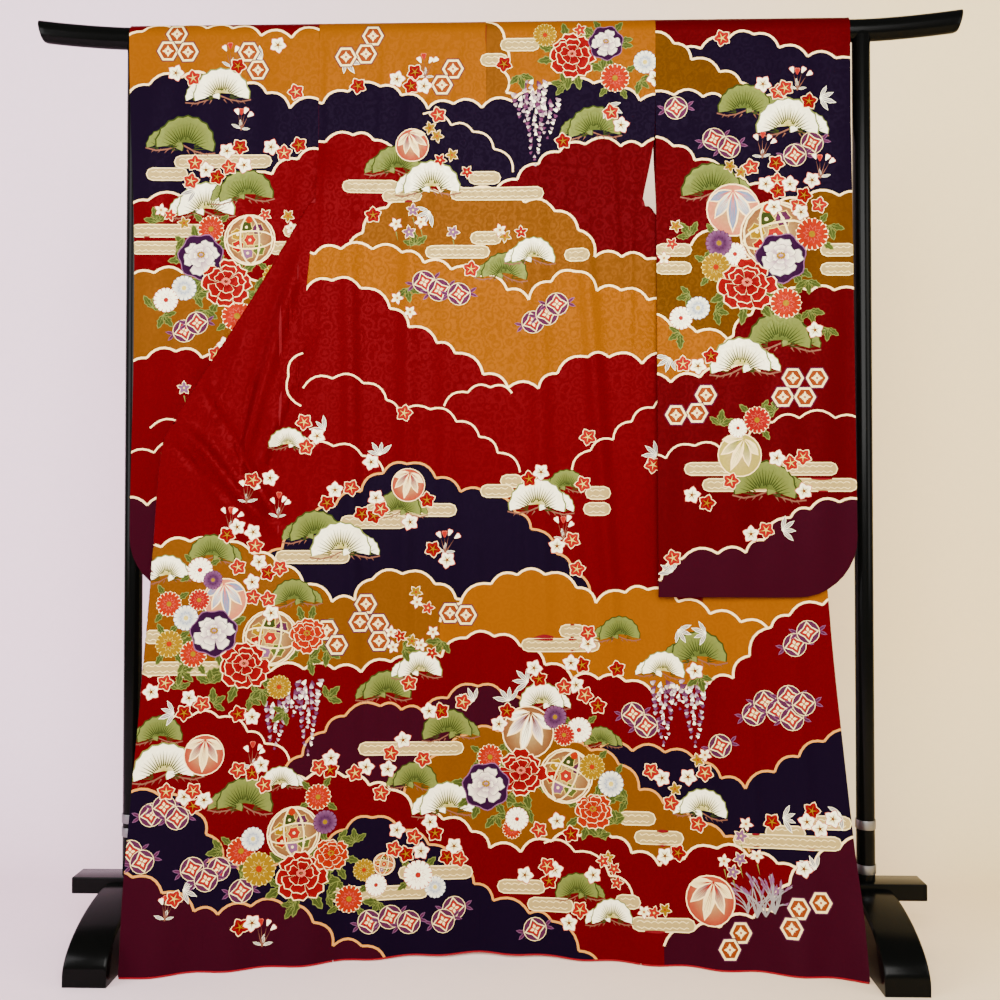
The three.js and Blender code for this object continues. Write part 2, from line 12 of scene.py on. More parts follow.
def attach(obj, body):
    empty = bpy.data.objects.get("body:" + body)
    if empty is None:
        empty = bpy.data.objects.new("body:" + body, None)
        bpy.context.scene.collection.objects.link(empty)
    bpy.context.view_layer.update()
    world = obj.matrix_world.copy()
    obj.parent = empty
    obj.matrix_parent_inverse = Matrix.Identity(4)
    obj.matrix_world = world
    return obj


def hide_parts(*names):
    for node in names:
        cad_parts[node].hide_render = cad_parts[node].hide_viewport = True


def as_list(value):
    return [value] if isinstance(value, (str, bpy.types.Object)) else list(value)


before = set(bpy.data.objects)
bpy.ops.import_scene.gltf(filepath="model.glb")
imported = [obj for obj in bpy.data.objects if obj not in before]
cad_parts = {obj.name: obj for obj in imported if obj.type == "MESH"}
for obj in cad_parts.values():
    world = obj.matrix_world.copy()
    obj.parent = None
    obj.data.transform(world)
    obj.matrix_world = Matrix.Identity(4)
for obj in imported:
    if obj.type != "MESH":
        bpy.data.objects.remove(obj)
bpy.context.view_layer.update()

# ---- Sizes, in millimetres: X to the viewer's right, Z up, the viewer on the -Y side ------------
MM = 0.001
CENTRE = -15.0  # centre back seam
TOP = 1630.0  # middle of the bar, where the cloth starts to curl over it
RIDGE_Y, RIDGE_Z = 18.5, 23.0  # half axes of the fold over the bar
FOLD_LENGTH = 66.0  # cloth that lies on the bar, from the near side to the far side
SEAM = -0.2  # half of the gap at a seam: below nothing, the edges lap
TURN = 4.0  # thickness of a turned edge, and so the distance between its two layers
THICK = 1.2  # outer silk and lining together
HEM_Z, HEM_LIFT, HEM_LIFT_WIDTH = 5.0, 5.0, 150.0  # height of the hem, and its rise at the centre
HEM_RIPPLE, HEM_RIPPLE_PITCH, HEM_RIPPLE_TOP = 5.0, 118, 170  # waves of the gathered hem
HALF_SPREAD = 600  # from the centre seam to the edge of a spread front
ATTACHED_TO = 1440.0  # lowest point at which the far layer still hangs straight from the bar
SLEEVE_WIDTH, SLEEVE_LENGTH, SLEEVE_CORNER = 345.0, 1032.0, 105.0
SLEEVE_LOW = TOP + 20 - SLEEVE_LENGTH
COLLAR_WIDTH = 55.0
BESIDE_POST = 312.0  # width of the left sleeve's far layer, which stops short of the post
BEHIND_POST = 1377  # height down to which it does
SLIT_TOP = 1385  # where the hidden overlap parts from the body
NECK_LOW, NECK_TOP = 1540, 1592
NECKLINE = ((0, NECK_TOP), (36, 1588), (66, 1577), (84, 1560), (90, NECK_LOW))  # out from centre, height
SHORT = 6  # how far a rolled edge stops short of the ends of its line

# Lines of each half as (height, x): side seam, outer edge with its turned-back diagonal and armhole;
# overlap is the width of the overlap panel that shows. Hidden lines: edge of the body panel and of
# the overlap. Depths: centre and edge_depth are how far the hem stands out at the centre and at the
# edge, bend and power how that grows outwards and downwards, forward the lift over the side seam.
LEFT = dict(
    side=-1, centre=64, edge_depth=100, bend=1.5, power=2.5, forward=9,
    seam=((1640, -317), (1440, -317), (1333, -320), (1252, -327), (1136, -337), (957, -341),
          (823, -340), (682, -326), (526, -297), (270, -277), (0, -274)),
    edge=((1325, -327), (1136, -439), (930, -566), (894, -584), (823, -592), (707, -596),
          (528, -603), (296, -612), (120, -615), (0, -613)),
    overlap=((934, 0), (850, 60), (700, 95), (500, 118), (200, 130), (0, 132)),
    armhole=((1640, -317), (1440, -317), (1390, -296), (1350, -301), (1325, -324)),
    hidden_panel=((1540, -105), (1440, -100), (1390, -102), (1333, -112), (1252, -195),
                  (1136, -306), (1040, -425), (957, -532), (930, -560), (823, -592)),
    hidden_overlap=((1540, -105), (1440, -100), (1390, -98), (1333, -98), (1252, -160),
                    (1136, -236), (1040, -334), (957, -415), (930, -440), (823, -499),
                    (707, -523), (528, -570), (440, -592)),
    turn_end=934, overlap_end=450, collar_end=925, slit=-317)
RIGHT = dict(
    side=1, centre=64, edge_depth=82, bend=1.4, power=4,
    seam=((1640, 286), (1451, 284), (1326, 263), (1225, 243), (1161, 229), (1040, 216),
          (912, 215), (770, 227), (647, 242), (525, 249), (0, 248)),
    edge=((1318, 270), (1058, 442), (925, 530), (850, 556), (750, 571), (618, 581), (528, 586),
          (344, 598), (199, 606), (88, 612), (0, 611)),
    overlap=((1060, 0), (925, 80), (800, 125), (618, 140), (344, 146), (199, 133), (0, 131)),
    armhole=((1640, 286), (1445, 284), (1390, 262), (1350, 252), (1318, 267)),
    hidden_panel=((1540, 75), (1440, 70), (1390, 72), (1326, 84), (1252, 148), (1136, 326),
                  (1060, 438), (1040, 454), (925, 530)),
    hidden_overlap=((1540, 75), (1440, 70), (1390, 68), (1326, 70), (1252, 113), (1136, 256),
                    (1060, 346), (1040, 366), (925, 492), (860, 536)),
    turn_end=1064, overlap_end=868, collar_end=930, slit=262)

# Soft folds of the hanging cloth, as x0, z0, x1, z1, width and depth: each runs from (x0, z0) down
# to (x1, z1). Broad folds come first, then creases. A depth below nothing is a hollow.
FOLDS = (
    (-148, 1570, -165, 300, 17, 5), (-262, 1300, -245, 380, 16, 6), (-82, 1250, -92, 120, 20, 4),
    (74, 1500, 90, 100, 18, 4.5), (158, 1280, 208, 540, 15, 6), (-352, 1210, -446, 860, 15, 9),
    (-540, 910, -405, 745, 17, 11), (-400, 620, -372, 40, 20, 5), (360, 560, 372, 30, 20, 5),
    (-300, 1625, -306, 1100, 7, 1.6), (-196, 1632, -214, 1290, 6, 1.5),
    (-118, 1600, -104, 1240, 8, 1.8), (-52, 1632, -70, 1330, 6, 1.3),
    (28, 1630, 36, 1180, 7, 1.6), (112, 1632, 124, 1250, 8, 1.8),
    (196, 1600, 222, 1130, 8, 2.2), (246, 1400, 236, 1000, 6, 1.8), (-448, 1080, -512, 880, 9, 3),
    (-327, 1070, -402, 840, 9, -5.5), (-350, 1010, -420, 830, 11, 4), (-429, 1010, -454, 870, 9, -5),
    (-500, 960, -386, 760, 10, -6), (-540, 880, -420, 700, 11, 4),
    (-505, 1000, -430, 800, 9, 3.2), (-560, 880, -470, 790, 10, -3), (-390, 1000, -418, 700, 9, 2.4),
    (-330, 800, -306, 420, 9, 2.4), (-520, 700, -505, 200, 14, 2.6), (-462, 560, -440, 60, 12, 2.8),
    (-218, 900, -206, 300, 10, 2.2), (-120, 820, -134, 200, 11, 2.4), (-34, 760, -40, 60, 11, 2),
    (42, 900, 36, 160, 10, 2.2), (140, 760, 128, 80, 12, 2.6), (206, 640, 196, 120, 10, 2.4),
    (296, 600, 286, 60, 12, 2.6), (440, 580, 446, 80, 12, 2.4), (520, 560, 540, 100, 14, 2.4))

FOLD_ENDS, FOLD_REACH = 0.15, 2.6  # how far a fold runs past its ends, and its widths from its middle

# ---- Camera --------------------------------------------------------------------------------
EYE = (54.0, -1849.0, 756.2)
TURNED, RAISED = math.atan2(46, 1849), math.radians(1.0)
FOCUS_PX, FRAME_PX = 1030.6, 1000


def ray(px, py):
    """Direction from the eye through a point of the picture."""
    ahead = Vector((-math.sin(TURNED) * math.cos(RAISED), math.cos(TURNED) * math.cos(RAISED),
                    math.sin(RAISED)))
    across = Vector((math.cos(TURNED), math.sin(TURNED), 0))
    up = across.cross(ahead)
    middle = FRAME_PX / 2
    return ahead + across * ((px - middle) / FOCUS_PX) + up * ((middle - py) / FOCUS_PX)


# ---- Cloth surfaces ------------------------------------------------------------------------
def mix(a, b, t):
    return a + (b - a) * t


def clamp01(t):
    return min(1.0, max(0.0, t))


def steps(count, start, end):
    return [mix(start, end, i / count) for i in range(count + 1)]


def smooth(start, end, value):
    t = clamp01((value - start) / (end - start))
    return t * t * (3 - 2 * t)


def at(rows, z):
    """Value of a line at a height, on a smooth curve through its rows, whose heights fall."""
    last = len(rows) - 1
    if z >= rows[0][0]:
        return rows[0][1]
    if z <= rows[last][0]:
        return rows[last][1]
    i = next(k for k in range(last) if rows[k + 1][0] < z)

    def rate(k):
        return (rows[k + 1][1] - rows[k][1]) / (rows[k + 1][0] - rows[k][0])

    def slope(k):
        if k in (0, last):
            return rate(min(k, last - 1))
        above, below = rate(k - 1), rate(k)
        return 2 * above * below / (above + below) if above * below > 0 else 0.0

    span = rows[i + 1][0] - rows[i][0]
    t = (z - rows[i][0]) / span
    bend = mix(rows[i][1], rows[i + 1][1], t * t * (3 - 2 * t))
    return bend + t * (1 - t) ** 2 * span * slope(i) + t * t * (t - 1) * span * slope(i + 1)


def hem_z(x):
    return HEM_Z + HEM_LIFT * math.exp(-(((x - CENTRE) / HEM_LIFT_WIDTH) ** 2))


def folds_at(x, z):
    push = 0.0
    for x0, z0, x1, z1, width, depth in FOLDS:
        t = (z0 - z) / (z0 - z1)
        if -FOLD_ENDS < t < 1 + FOLD_ENDS:
            away = (x - mix(x0, x1, t)) / width
            if abs(away) < FOLD_REACH:
                ends = smooth(-FOLD_ENDS, 0.2, t) * (1 - smooth(0.8, 1 + FOLD_ENDS, t))
                push += depth * ends * math.exp(-away * away)
    return push


def even_y(x, z):
    """Depth of the outer layer without its folds."""
    half = LEFT if x < CENTRE else RIGHT
    reach = abs(x - CENTRE) / HALF_SPREAD
    flare = half["centre"] + half["edge_depth"] * reach ** half["bend"] - RIDGE_Y
    power = mix(LEFT["power"], RIGHT["power"], smooth(-120, 280, x))
    fall = clamp01((TOP - z) / TOP) ** power
    lift = LEFT["forward"] * smooth(-225, -316, x) * smooth(1450, 1340, z)
    return -RIDGE_Y - flare * fall - lift


def front_y(x, z):
    low = 1 - smooth(0, HEM_RIPPLE_TOP, z)
    ripple = HEM_RIPPLE * low * math.sin(x * 2 * math.pi / HEM_RIPPLE_PITCH)
    return even_y(x, z) - folds_at(x, z) - ripple


def far_y(half, x, z):
    """Depth of the far layer: straight from the bar, or close behind the spread front."""
    behind = smooth(0, 42, (x - half["slit"]) * -half["side"])
    far = RIDGE_Y - 16 * smooth(ATTACHED_TO, 1150, z)
    from_edge = (at(half["edge"], z) - x) * half["side"]
    under = even_y(x, z) + TURN + 4 * smooth(0, 70, from_edge)
    crossed = mix(under, far, behind)
    return mix(far, crossed, smooth(1430, 1345, z))


def over_bar(x, v):
    """A point of the cloth on the bar; v runs on from the height of the near side."""
    angle = math.pi * (v - TOP) / FOLD_LENGTH
    return Vector((x, -RIDGE_Y * math.cos(angle), TOP + RIDGE_Z * math.sin(angle)))


def length_point(near, far):
    """The surface of one length of cloth: near sheet, fold over the bar, far sheet."""
    def point(x, v):
        if v <= TOP:
            return Vector((x, near(x, v), v))
        if v < TOP + FOLD_LENGTH:
            return over_bar(x, v)
        z = 2 * TOP + FOLD_LENGTH - v
        return Vector((x, far(x, z), z))
    return point


def rolled_point(half):
    """The spread front, rolled round its outer edge to the layer behind it."""
    def point(x, z):
        edge = at(half["edge"], z)
        past = (x - edge) * half["side"]
        if past <= 0 or z < half["overlap_end"]:
            return Vector((x, front_y(x, z), z))
        radius = TURN / 2
        angle = min(past / radius, math.pi)
        y = front_y(edge, z) + radius - radius * math.cos(angle)
        return Vector((edge + half["side"] * radius * math.sin(angle), y, z))
    return point


def sleeve_sheets(half):
    left = half["side"] < 0
    armhole = at(half["seam"], TOP) + half["side"] * SEAM

    def outwards(x):
        return clamp01(abs(x - armhole) / SLEEVE_WIDTH)

    def near(x, z):
        # The left sleeve hangs nearly straight, and the right one comes forward of the spread front.
        fall = outwards(x) * smooth(1550, 1400, z) if left else clamp01((1451 - z) / 831) ** 0.8
        wave = 1.1 * math.sin(x / 23 + z / 310) + 0.8 * math.sin(x / 11.5 - z / 190)
        soft = smooth(1610, 1450, z) * smooth(SLEEVE_LENGTH * 0.6, 760, z)
        shown = wave * mix(0.35, 1.0, soft) * smooth(0, 0.15, outwards(x)) * smooth(1625, 1590, z)
        return -RIDGE_Y - (2.5 if left else 26.5) * fall - shown

    def far(x, z):
        t = smooth(0, 0.6, outwards(x))
        parted = smooth(mix(1290, 1385, t), mix(1440, 1505, t), z)
        return mix(near(x, z) + TURN, RIDGE_Y, parted)
    return near, far


SLEEVES = {-1: sleeve_sheets(LEFT), 1: sleeve_sheets(RIGHT)}


def on_cloth(px, py, sheet):
    """The place on a sheet, as (x, z), that the picture shows at a point."""
    way, y = ray(px, py), -RIDGE_Y
    for _ in range(5):
        t = (y - EYE[1]) / way.y
        x, z = EYE[0] + way.x * t, EYE[2] + way.z * t
        y = sheet(x, min(z, TOP))
    return x, z


def mm_per_px(y):
    return (y - EYE[1]) / FOCUS_PX


# ---- Dyes, as screen colours 0-255 ----------------------------------------------------------
# The darker crimson and darker gold here are painted shade: crimson and gold made darker where the right side
# of the cloth lies in shade.
DYES = dict(
    crimson=(75, 1, 6), shaded_crimson=(64, 1, 5), amber=(114, 62, 0), gold=(94, 53, 7),
    shaded_gold=(74, 43, 5), clay=(112, 46, 14), navy=(12, 4, 19), maroon=(41, 4, 15),
    line=(248, 214, 146), gilt=(190, 128, 56), cream=(232, 208, 138),
    white=(254, 248, 206), red=(118, 4, 9), coral=(134, 24, 18), rose=(182, 86, 66),
    orange=(136, 30, 2), yellow=(122, 90, 2), lemon=(198, 174, 74), purple=(35, 8, 35),
    lilac=(104, 66, 94), mauve=(66, 26, 50), grey=(126, 120, 116), blue=(104, 116, 138),
    moss=(40, 48, 15), leaf=(62, 72, 27), sage=(98, 106, 48), straw=(146, 134, 48),
    mist=(158, 136, 80), bark=(104, 66, 50), brown=(86, 40, 18))

# A painted shape: its outline in (x, z), its colours at the centre and at the radius, and its box.
Shape = namedtuple("Shape", "points inner outer centre radius box is_cloud")
ART = {"body": [], "sleeve_left": [], "sleeve_right": []}  # shapes, lowest first
random.seed(11)


def dye(name):
    return tuple(c / 255 for c in DYES[name])


def box_of(points):
    """Left, right, bottom and top."""
    across, up = zip(*points)
    return min(across), max(across), min(up), max(up)


def paint(group, points, inner, outer=None, centre=None, radius=1.0, cloud=False):
    """Adds a shape in (x, z); its colour runs from inner at the centre to outer at the radius."""
    ART[group].append(Shape(points, dye(inner), dye(outer or inner), centre or points[0], radius,
                            box_of(points), cloud))


def round_from(x, z, r, angle):
    return x + r * math.cos(angle), z + r * math.sin(angle)


def spot(x, z, r, sides=8):
    return [round_from(x, z, r, 2 * math.pi * i / sides) for i in range(sides)]


def placed(points, x, z, size, turn):
    c, s = math.cos(turn), math.sin(turn)
    return [(x + size * (px * c - pz * s), z + size * (px * s + pz * c)) for px, pz in points]


def lens(x, z, length, width, turn, sides=3):
    """A pointed petal that starts at (x, z)."""
    rise = [(i / (sides + 1), width / 2 * math.sin(math.pi * i / (sides + 1))) for i in range(1, sides + 1)]
    there, back = [(t * length, -w) for t, w in rise], [(t * length, w) for t, w in reversed(rise)]
    return placed([(0, 0)] + there + [(length, 0)] + back, x, z, 1.0, turn)


def petal(x, z, length, width, turn):
    """A round-ended petal that starts at (x, z)."""
    points = ((0, -0.08), (0.45, -0.34), (0.8, -0.5), (0.98, -0.28), (0.94, 0), (0.98, 0.28),
              (0.8, 0.5), (0.45, 0.34), (0, 0.08))
    return placed([(a * length, b * width) for a, b in points], x, z, 1.0, turn)


def stroke(x0, z0, x1, z1, width):
    """A thin line that tapers to its end."""
    length = math.hypot(x1 - x0, z1 - z0) or 1
    nx, nz = -(z1 - z0) / length * width / 2, (x1 - x0) / length * width / 2
    return [(x0 - nx, z0 - nz), (x1, z1), (x0 + nx, z0 + nz)]


def band(points, width):
    """A line of even width through points."""
    sides = ([], [])
    for i, (x, z) in enumerate(points):
        a, b = points[max(i - 1, 0)], points[min(i + 1, len(points) - 1)]
        length = math.hypot(b[0] - a[0], b[1] - a[1]) or 1
        nx, nz = -(b[1] - a[1]) / length * width / 2, (b[0] - a[0]) / length * width / 2
        sides[0].append((x + nx, z + nz))
        sides[1].append((x - nx, z - nz))
    return sides[0] + sides[1][::-1]


# ---- Clouds: each is what lies below a line of scallops ---------------------------------------
SCALLOP, SCALLOP_RISE, LINE_WIDTH = 52.0, 0.22, 4.0  # millimetres; rise as a share of the chord
ARC_SIDES = 6
BELOW_HEM = -80.0  # how low the fill of a cloud reaches


def scallops(points):
    """Arcs along a line through points, each bulging to the left of the way along it."""
    lengths = [math.dist(a, b) for a, b in zip(points, points[1:])]
    count = max(1, round(sum(lengths) / SCALLOP))
    uneven = [i + (random.uniform(-0.16, 0.16) if 0 < i < count else 0) for i in range(count + 1)]
    cusps = []
    for mark in sorted(i * sum(lengths) / count for i in uneven):
        i = 0
        while i < len(lengths) - 1 and mark > lengths[i]:
            mark -= lengths[i]
            i += 1
        t = clamp01(mark / lengths[i]) if lengths[i] else 0
        (x0, z0), (x1, z1) = points[i:i + 2]
        cusps.append((mix(x0, x1, t), mix(z0, z1, t)))
    arcs = []
    for (x0, z0), (x1, z1) in zip(cusps, cusps[1:]):
        arc = []
        for t in steps(ARC_SIDES, 0, 1):
            out = 4 * t * (1 - t) * SCALLOP_RISE
            arc.append((mix(x0, x1, t) - (z1 - z0) * out, mix(z0, z1, t) + (x1 - x0) * out))
        arcs.append(arc)
    return arcs


def cloud(group, fill, line, view_points, sheet):
    """Fills below a scalloped line and outlines it."""
    arcs = scallops([on_cloth(px, py, sheet) for px, py in view_points])
    edge = [p for arc in arcs for p in (arc if arc is arcs[-1] else arc[:-1])]
    if fill:
        paint(group, edge + [(edge[-1][0], BELOW_HEM), (edge[0][0], BELOW_HEM)], fill, cloud=True)
    for arc in arcs:
        paint(group, band(arc, LINE_WIDTH * (0.8 if fill is None else 1)), line, cloud=True)


# Clouds as fill, line and picture points, from the top of the cloth to the hem. One without a fill
# is a line alone, and one without a line is the ground of the spread left front.
CLOUDS = {
    "sleeve_left": (
        ("amber", "line", ((120, 50), (140, 32), (160, 28), (246, 28), (262, 36), (285, 39), (300, 36),
         (320, 30))),
        ("navy", "line", ((126, 100), (150, 84), (180, 77), (249, 84), (266, 92), (270, 104), (285, 109),
         (322, 101))),
        ("crimson", "line", ((126, 214), (150, 199), (190, 199), (262, 181), (278, 170), (295, 160),
         (322, 150))),
        ("gold", "line", ((126, 283), (150, 273), (175, 271), (220, 282), (262, 288), (322, 306))),
        ("crimson", "line", ((126, 374), (146, 358), (177, 351), (194, 358), (212, 357), (240, 366),
         (322, 372))),
        (None, "line", ((150, 428), (166, 420), (184, 425))),
        (None, "line", ((124, 460), (146, 456), (160, 450), (184, 444))),
        ("maroon", "line", ((118, 502), (138, 508), (160, 501), (322, 498))),
    ),
    # On the right sleeve, the darker crimson and gold fills are painted shade.
    "sleeve_right": (
        ("navy", "line", ((640, 60), (670, 60), (689, 51), (716, 45), (735, 35), (756, 34), (778, 47),
         (796, 56), (820, 57), (836, 58), (866, 74))),
        ("shaded_gold", "line", ((646, 34), (665, 37), (684, 50), (694, 63), (716, 70), (749, 86),
         (756, 104))),
        ("navy", "line", ((640, 102), (678, 94), (716, 98), (748, 104), (790, 100))),
        ("shaded_crimson", "line", ((640, 142), (668, 143), (686, 153), (705, 168), (740, 182), (778, 196))),
        ("shaded_gold", "line", ((640, 282), (662, 262), (700, 240), (745, 222), (784, 206), (812, 197),
         (833, 195), (866, 198))),
        ("amber", "line", ((640, 316), (668, 327), (690, 328), (706, 338), (730, 343))),
        ("shaded_crimson", "line", ((724, 360), (728, 343), (741, 325), (760, 306), (790, 295), (812, 291),
         (834, 290), (866, 298))),
        ("shaded_crimson", "line", ((640, 378), (655, 381), (680, 383), (700, 377), (732, 369), (760, 372))),
        (None, "line", ((746, 444), (756, 434), (775, 421), (796, 420), (812, 411), (832, 417),
         (866, 426))),
        (None, "line", ((640, 462), (657, 459), (676, 457), (690, 446), (708, 445), (724, 452))),
        ("maroon", "line", ((640, 596), (660, 581), (684, 557), (712, 554), (735, 552), (754, 553),
         (764, 540), (786, 524), (796, 510), (820, 508), (835, 501), (870, 508))),
    ),
    "body": (
        ("gold", "line", ((486, 20), (497, 30), (508, 52), (500, 80), (510, 100), (530, 120), (700, 120))),
        ("navy", "line", ((300, 112), (318, 106), (345, 92), (390, 85), (415, 107), (432, 109), (456, 103),
         (496, 110), (520, 98), (560, 86), (585, 81), (614, 88), (632, 100), (700, 104))),
        (None, "line", ((423, 114), (441, 122), (474, 132), (489, 144), (500, 155), (513, 172))),
        ("crimson", "line", ((300, 156), (318, 150), (327, 140), (342, 135), (360, 135), (380, 142),
         (392, 156), (410, 176), (440, 190))),
        # This darker crimson fill is painted shade on the right of the body.
        ("shaded_crimson", "line", ((494, 196), (512, 182), (531, 172), (544, 158), (572, 147), (595, 142),
         (627, 147), (700, 142))),
        ("gold", "line", ((350, 256), (363, 232), (375, 216), (390, 205), (417, 198), (444, 191),
         (480, 192), (515, 199), (544, 208), (569, 214), (582, 236), (592, 256), (610, 260), (636, 253),
         (700, 290))),
        ("amber", "line", ((290, 262), (309, 255), (345, 248), (387, 249), (417, 256), (430, 268),
         (470, 271), (499, 284), (520, 299), (534, 300), (548, 285), (566, 265), (582, 276), (600, 294),
         (623, 290), (700, 320))),
        ("crimson", "line", ((280, 300), (307, 290), (333, 280), (357, 287), (381, 294), (396, 318),
         (417, 333), (450, 349), (474, 369), (500, 384), (520, 393), (549, 386), (562, 366), (585, 357),
         (617, 357), (640, 364), (700, 350))),
        ("crimson", None, ()),
        (None, "line", ((444, 406), (465, 393), (492, 387), (512, 393))),
        (None, "line", ((303, 388), (330, 378), (363, 383), (371, 395), (387, 400), (394, 417), (417, 415),
         (435, 407), (452, 420), (473, 427), (482, 441), (494, 447), (503, 461), (520, 472))),
        (None, "line", ((301, 406), (291, 392), (288, 373), (303, 353))),
        (None, "line", ((572, 474), (580, 457), (600, 444), (626, 435), (631, 422), (646, 411),
         (680, 396))),
        (None, "line", ((303, 450), (333, 446), (363, 456), (384, 474))),
        ("navy", "gilt", ((262, 566), (276, 554), (300, 533), (321, 512), (357, 495), (369, 484),
         (390, 468), (411, 463), (430, 474), (447, 486), (466, 494), (500, 497), (515, 512), (531, 529),
         (552, 545), (560, 560), (575, 575), (590, 600))),
        ("gold", "line", ((130, 556), (153, 550), (180, 540), (215, 545), (264, 556), (290, 573),
         (318, 597), (342, 605), (363, 597), (374, 576), (390, 570), (420, 579), (441, 586), (462, 604),
         (480, 622))),
        ("amber", "line", ((440, 622), (462, 602), (480, 588), (515, 575), (541, 573), (560, 580),
         (582, 590), (596, 603), (614, 603), (634, 585), (660, 594), (700, 611), (741, 622), (772, 632),
         (790, 650))),
        ("crimson", "line", ((120, 676), (200, 678), (288, 669), (345, 669), (357, 674), (384, 662),
         (438, 659), (450, 652), (464, 638), (500, 636), (525, 648), (553, 671), (585, 684), (604, 677),
         (639, 684), (655, 698), (700, 686), (738, 677), (750, 655), (757, 637), (773, 626), (799, 609),
         (850, 600))),
        (None, "line", ((165, 727), (195, 714), (222, 718), (250, 733), (270, 747), (290, 764))),
        ("maroon", "gilt", ((284, 776), (303, 755), (318, 742), (332, 722), (360, 709), (396, 704),
         (411, 719), (441, 704), (460, 687), (480, 686), (510, 698), (530, 712), (545, 735))),
        ("navy", "gilt", ((600, 747), (620, 750), (634, 751), (656, 749), (676, 756), (700, 763),
         (726, 782), (740, 789), (752, 788), (770, 775), (800, 756), (822, 742), (842, 738), (860, 734))),
        ("gold", "gilt", ((404, 800), (423, 773), (436, 762), (450, 752), (465, 735), (482, 731),
         (520, 732), (560, 745), (582, 750), (601, 751), (617, 763), (633, 776), (640, 792), (662, 802),
         (678, 818), (703, 830), (726, 837), (750, 852))),
        ("crimson", "line", ((279, 784), (300, 780), (321, 777), (345, 777), (357, 787), (385, 783),
         (400, 800), (414, 815), (432, 820), (453, 818), (471, 831), (490, 848), (518, 853), (544, 843),
         (575, 836), (614, 837), (628, 848), (640, 864), (670, 866), (697, 853), (716, 848), (735, 853),
         (770, 861), (788, 867), (804, 881))),
        (None, "line", ((650, 922), (664, 940), (682, 946), (694, 964))),
        (None, "line", ((544, 843), (572, 850), (590, 862), (604, 866), (615, 885), (633, 897))),
        ("navy", "gilt", ((120, 800), (144, 793), (162, 796), (183, 806), (201, 816), (206, 834),
         (212, 852), (222, 864))),
        ("navy", "gilt", ((206, 862), (240, 870), (262, 872), (318, 866), (325, 850), (345, 830),
         (365, 818), (384, 817), (396, 830), (440, 850), (471, 880), (484, 896), (510, 909), (545, 917),
         (565, 930), (578, 950), (600, 970))),
        ("maroon", "gilt", ((104, 878), (120, 872), (150, 885), (180, 904), (204, 917), (246, 908),
         (270, 900), (300, 912), (325, 930), (334, 948), (362, 946), (386, 962))),
        ("maroon", "line", ((664, 946), (676, 934), (703, 929), (740, 922), (773, 913), (783, 891),
         (797, 876), (812, 864), (830, 852), (870, 840))),
    ),
}
SHEETS = {"body": front_y, "sleeve_left": SLEEVES[-1][0], "sleeve_right": SLEEVES[1][0]}
# The right sleeve's darker crimson ground is painted shade.
GROUNDS = {"body": "amber", "sleeve_left": "crimson", "sleeve_right": "shaded_crimson"}
SPREAD_GROUND, BEYOND_EDGE = (1640, 500), -700  # heights of that ground, and a place past the cloth
for group, lines in CLOUDS.items():
    for fill, line, view_points in lines:
        if line:
            cloud(group, fill, line, view_points, SHEETS[group])
        else:
            side_seam = [(at(LEFT["seam"], z), z) for z in steps(30, *SPREAD_GROUND)]
            paint(group, side_seam + [(BEYOND_EDGE, z) for z in reversed(SPREAD_GROUND)], fill)

# ---- Motifs: each is drawn round (x, z) in millimetres on the flat cloth -----------------------
def lobed(x, z, r, lobes, dip, turn, per_lobe=4):
    """A round outline with lobes, whose dips are a share of the radius."""
    count = lobes * per_lobe
    return [(x + r * (1 - dip * (0.5 - 0.5 * math.cos(lobes * a))) * math.cos(a + turn),
             z + r * (1 - dip * (0.5 - 0.5 * math.cos(lobes * a))) * math.sin(a + turn))
            for a in (2 * math.pi * i / count for i in range(count))]


def plum(g, x, z, r, colour):
    turn = random.uniform(0, 6.28)
    edge, pale, heart = {"white": ("rose", "lemon", "brown"), "coral": ("line", "red", "lemon"),
                         "red": ("line", "crimson", "yellow")}[colour]
    paint(g, lobed(x, z, r, 5, 0.34, turn), edge)
    reach = r * (0.45 if colour == "white" else 0.8)
    paint(g, lobed(x, z, r * 0.9, 5, 0.34, turn), pale, colour, (x, z), reach)
    for i in range(5):
        paint(g, stroke(x, z, *round_from(x, z, r * 0.6, turn + 1.2566 * i), r * 0.13), heart)
    paint(g, spot(x, z, r * 0.15, 6), heart)


def star(g, x, z, r, colour):
    turn = random.uniform(0, 1.2)
    edge, pale = ("rose", "lemon") if colour == "white" else ("line", colour)
    paint(g, lobed(x, z, r, 5, 0.52, turn), edge)
    paint(g, lobed(x, z, r * 0.86, 5, 0.52, turn), pale, colour, (x, z), r * 0.6)
    paint(g, spot(x, z, r * 0.16, 5), "orange" if colour in ("white", "yellow") else "lemon")


def mum(g, x, z, r, colour):
    tip, heart, edge = {"coral": ("orange", "yellow", "rose"), "red": ("coral", "yellow", "rose"),
                        "yellow": ("yellow", "orange", "lemon"), "white": ("white", "coral", "rose"),
                        "blue": ("white", "lemon", "blue"), "purple": ("lilac", "yellow", "mauve")}[colour]
    turn = random.uniform(0, 0.5)
    paint(g, lobed(x, z, r, 16, 0.1, turn, 3), "line" if colour in ("coral", "red") else edge)
    for i in range(16):
        a = turn + 2 * math.pi * i / 16
        paint(g, petal(x, z, r * 0.95, r * 0.44, a)[1:-1:2] + [(x, z)], colour, tip, (x, z), r)
    for i in range(10):
        a = turn + 2 * math.pi * (i + 0.5) / 10
        paint(g, lens(x, z, r * 0.56, r * 0.24, a, 1), edge)
        paint(g, lens(x, z, r * 0.53, r * 0.21, a, 1), tip, colour, (x, z), r * 0.6)
    paint(g, spot(x, z, r * 0.2, 7), heart)


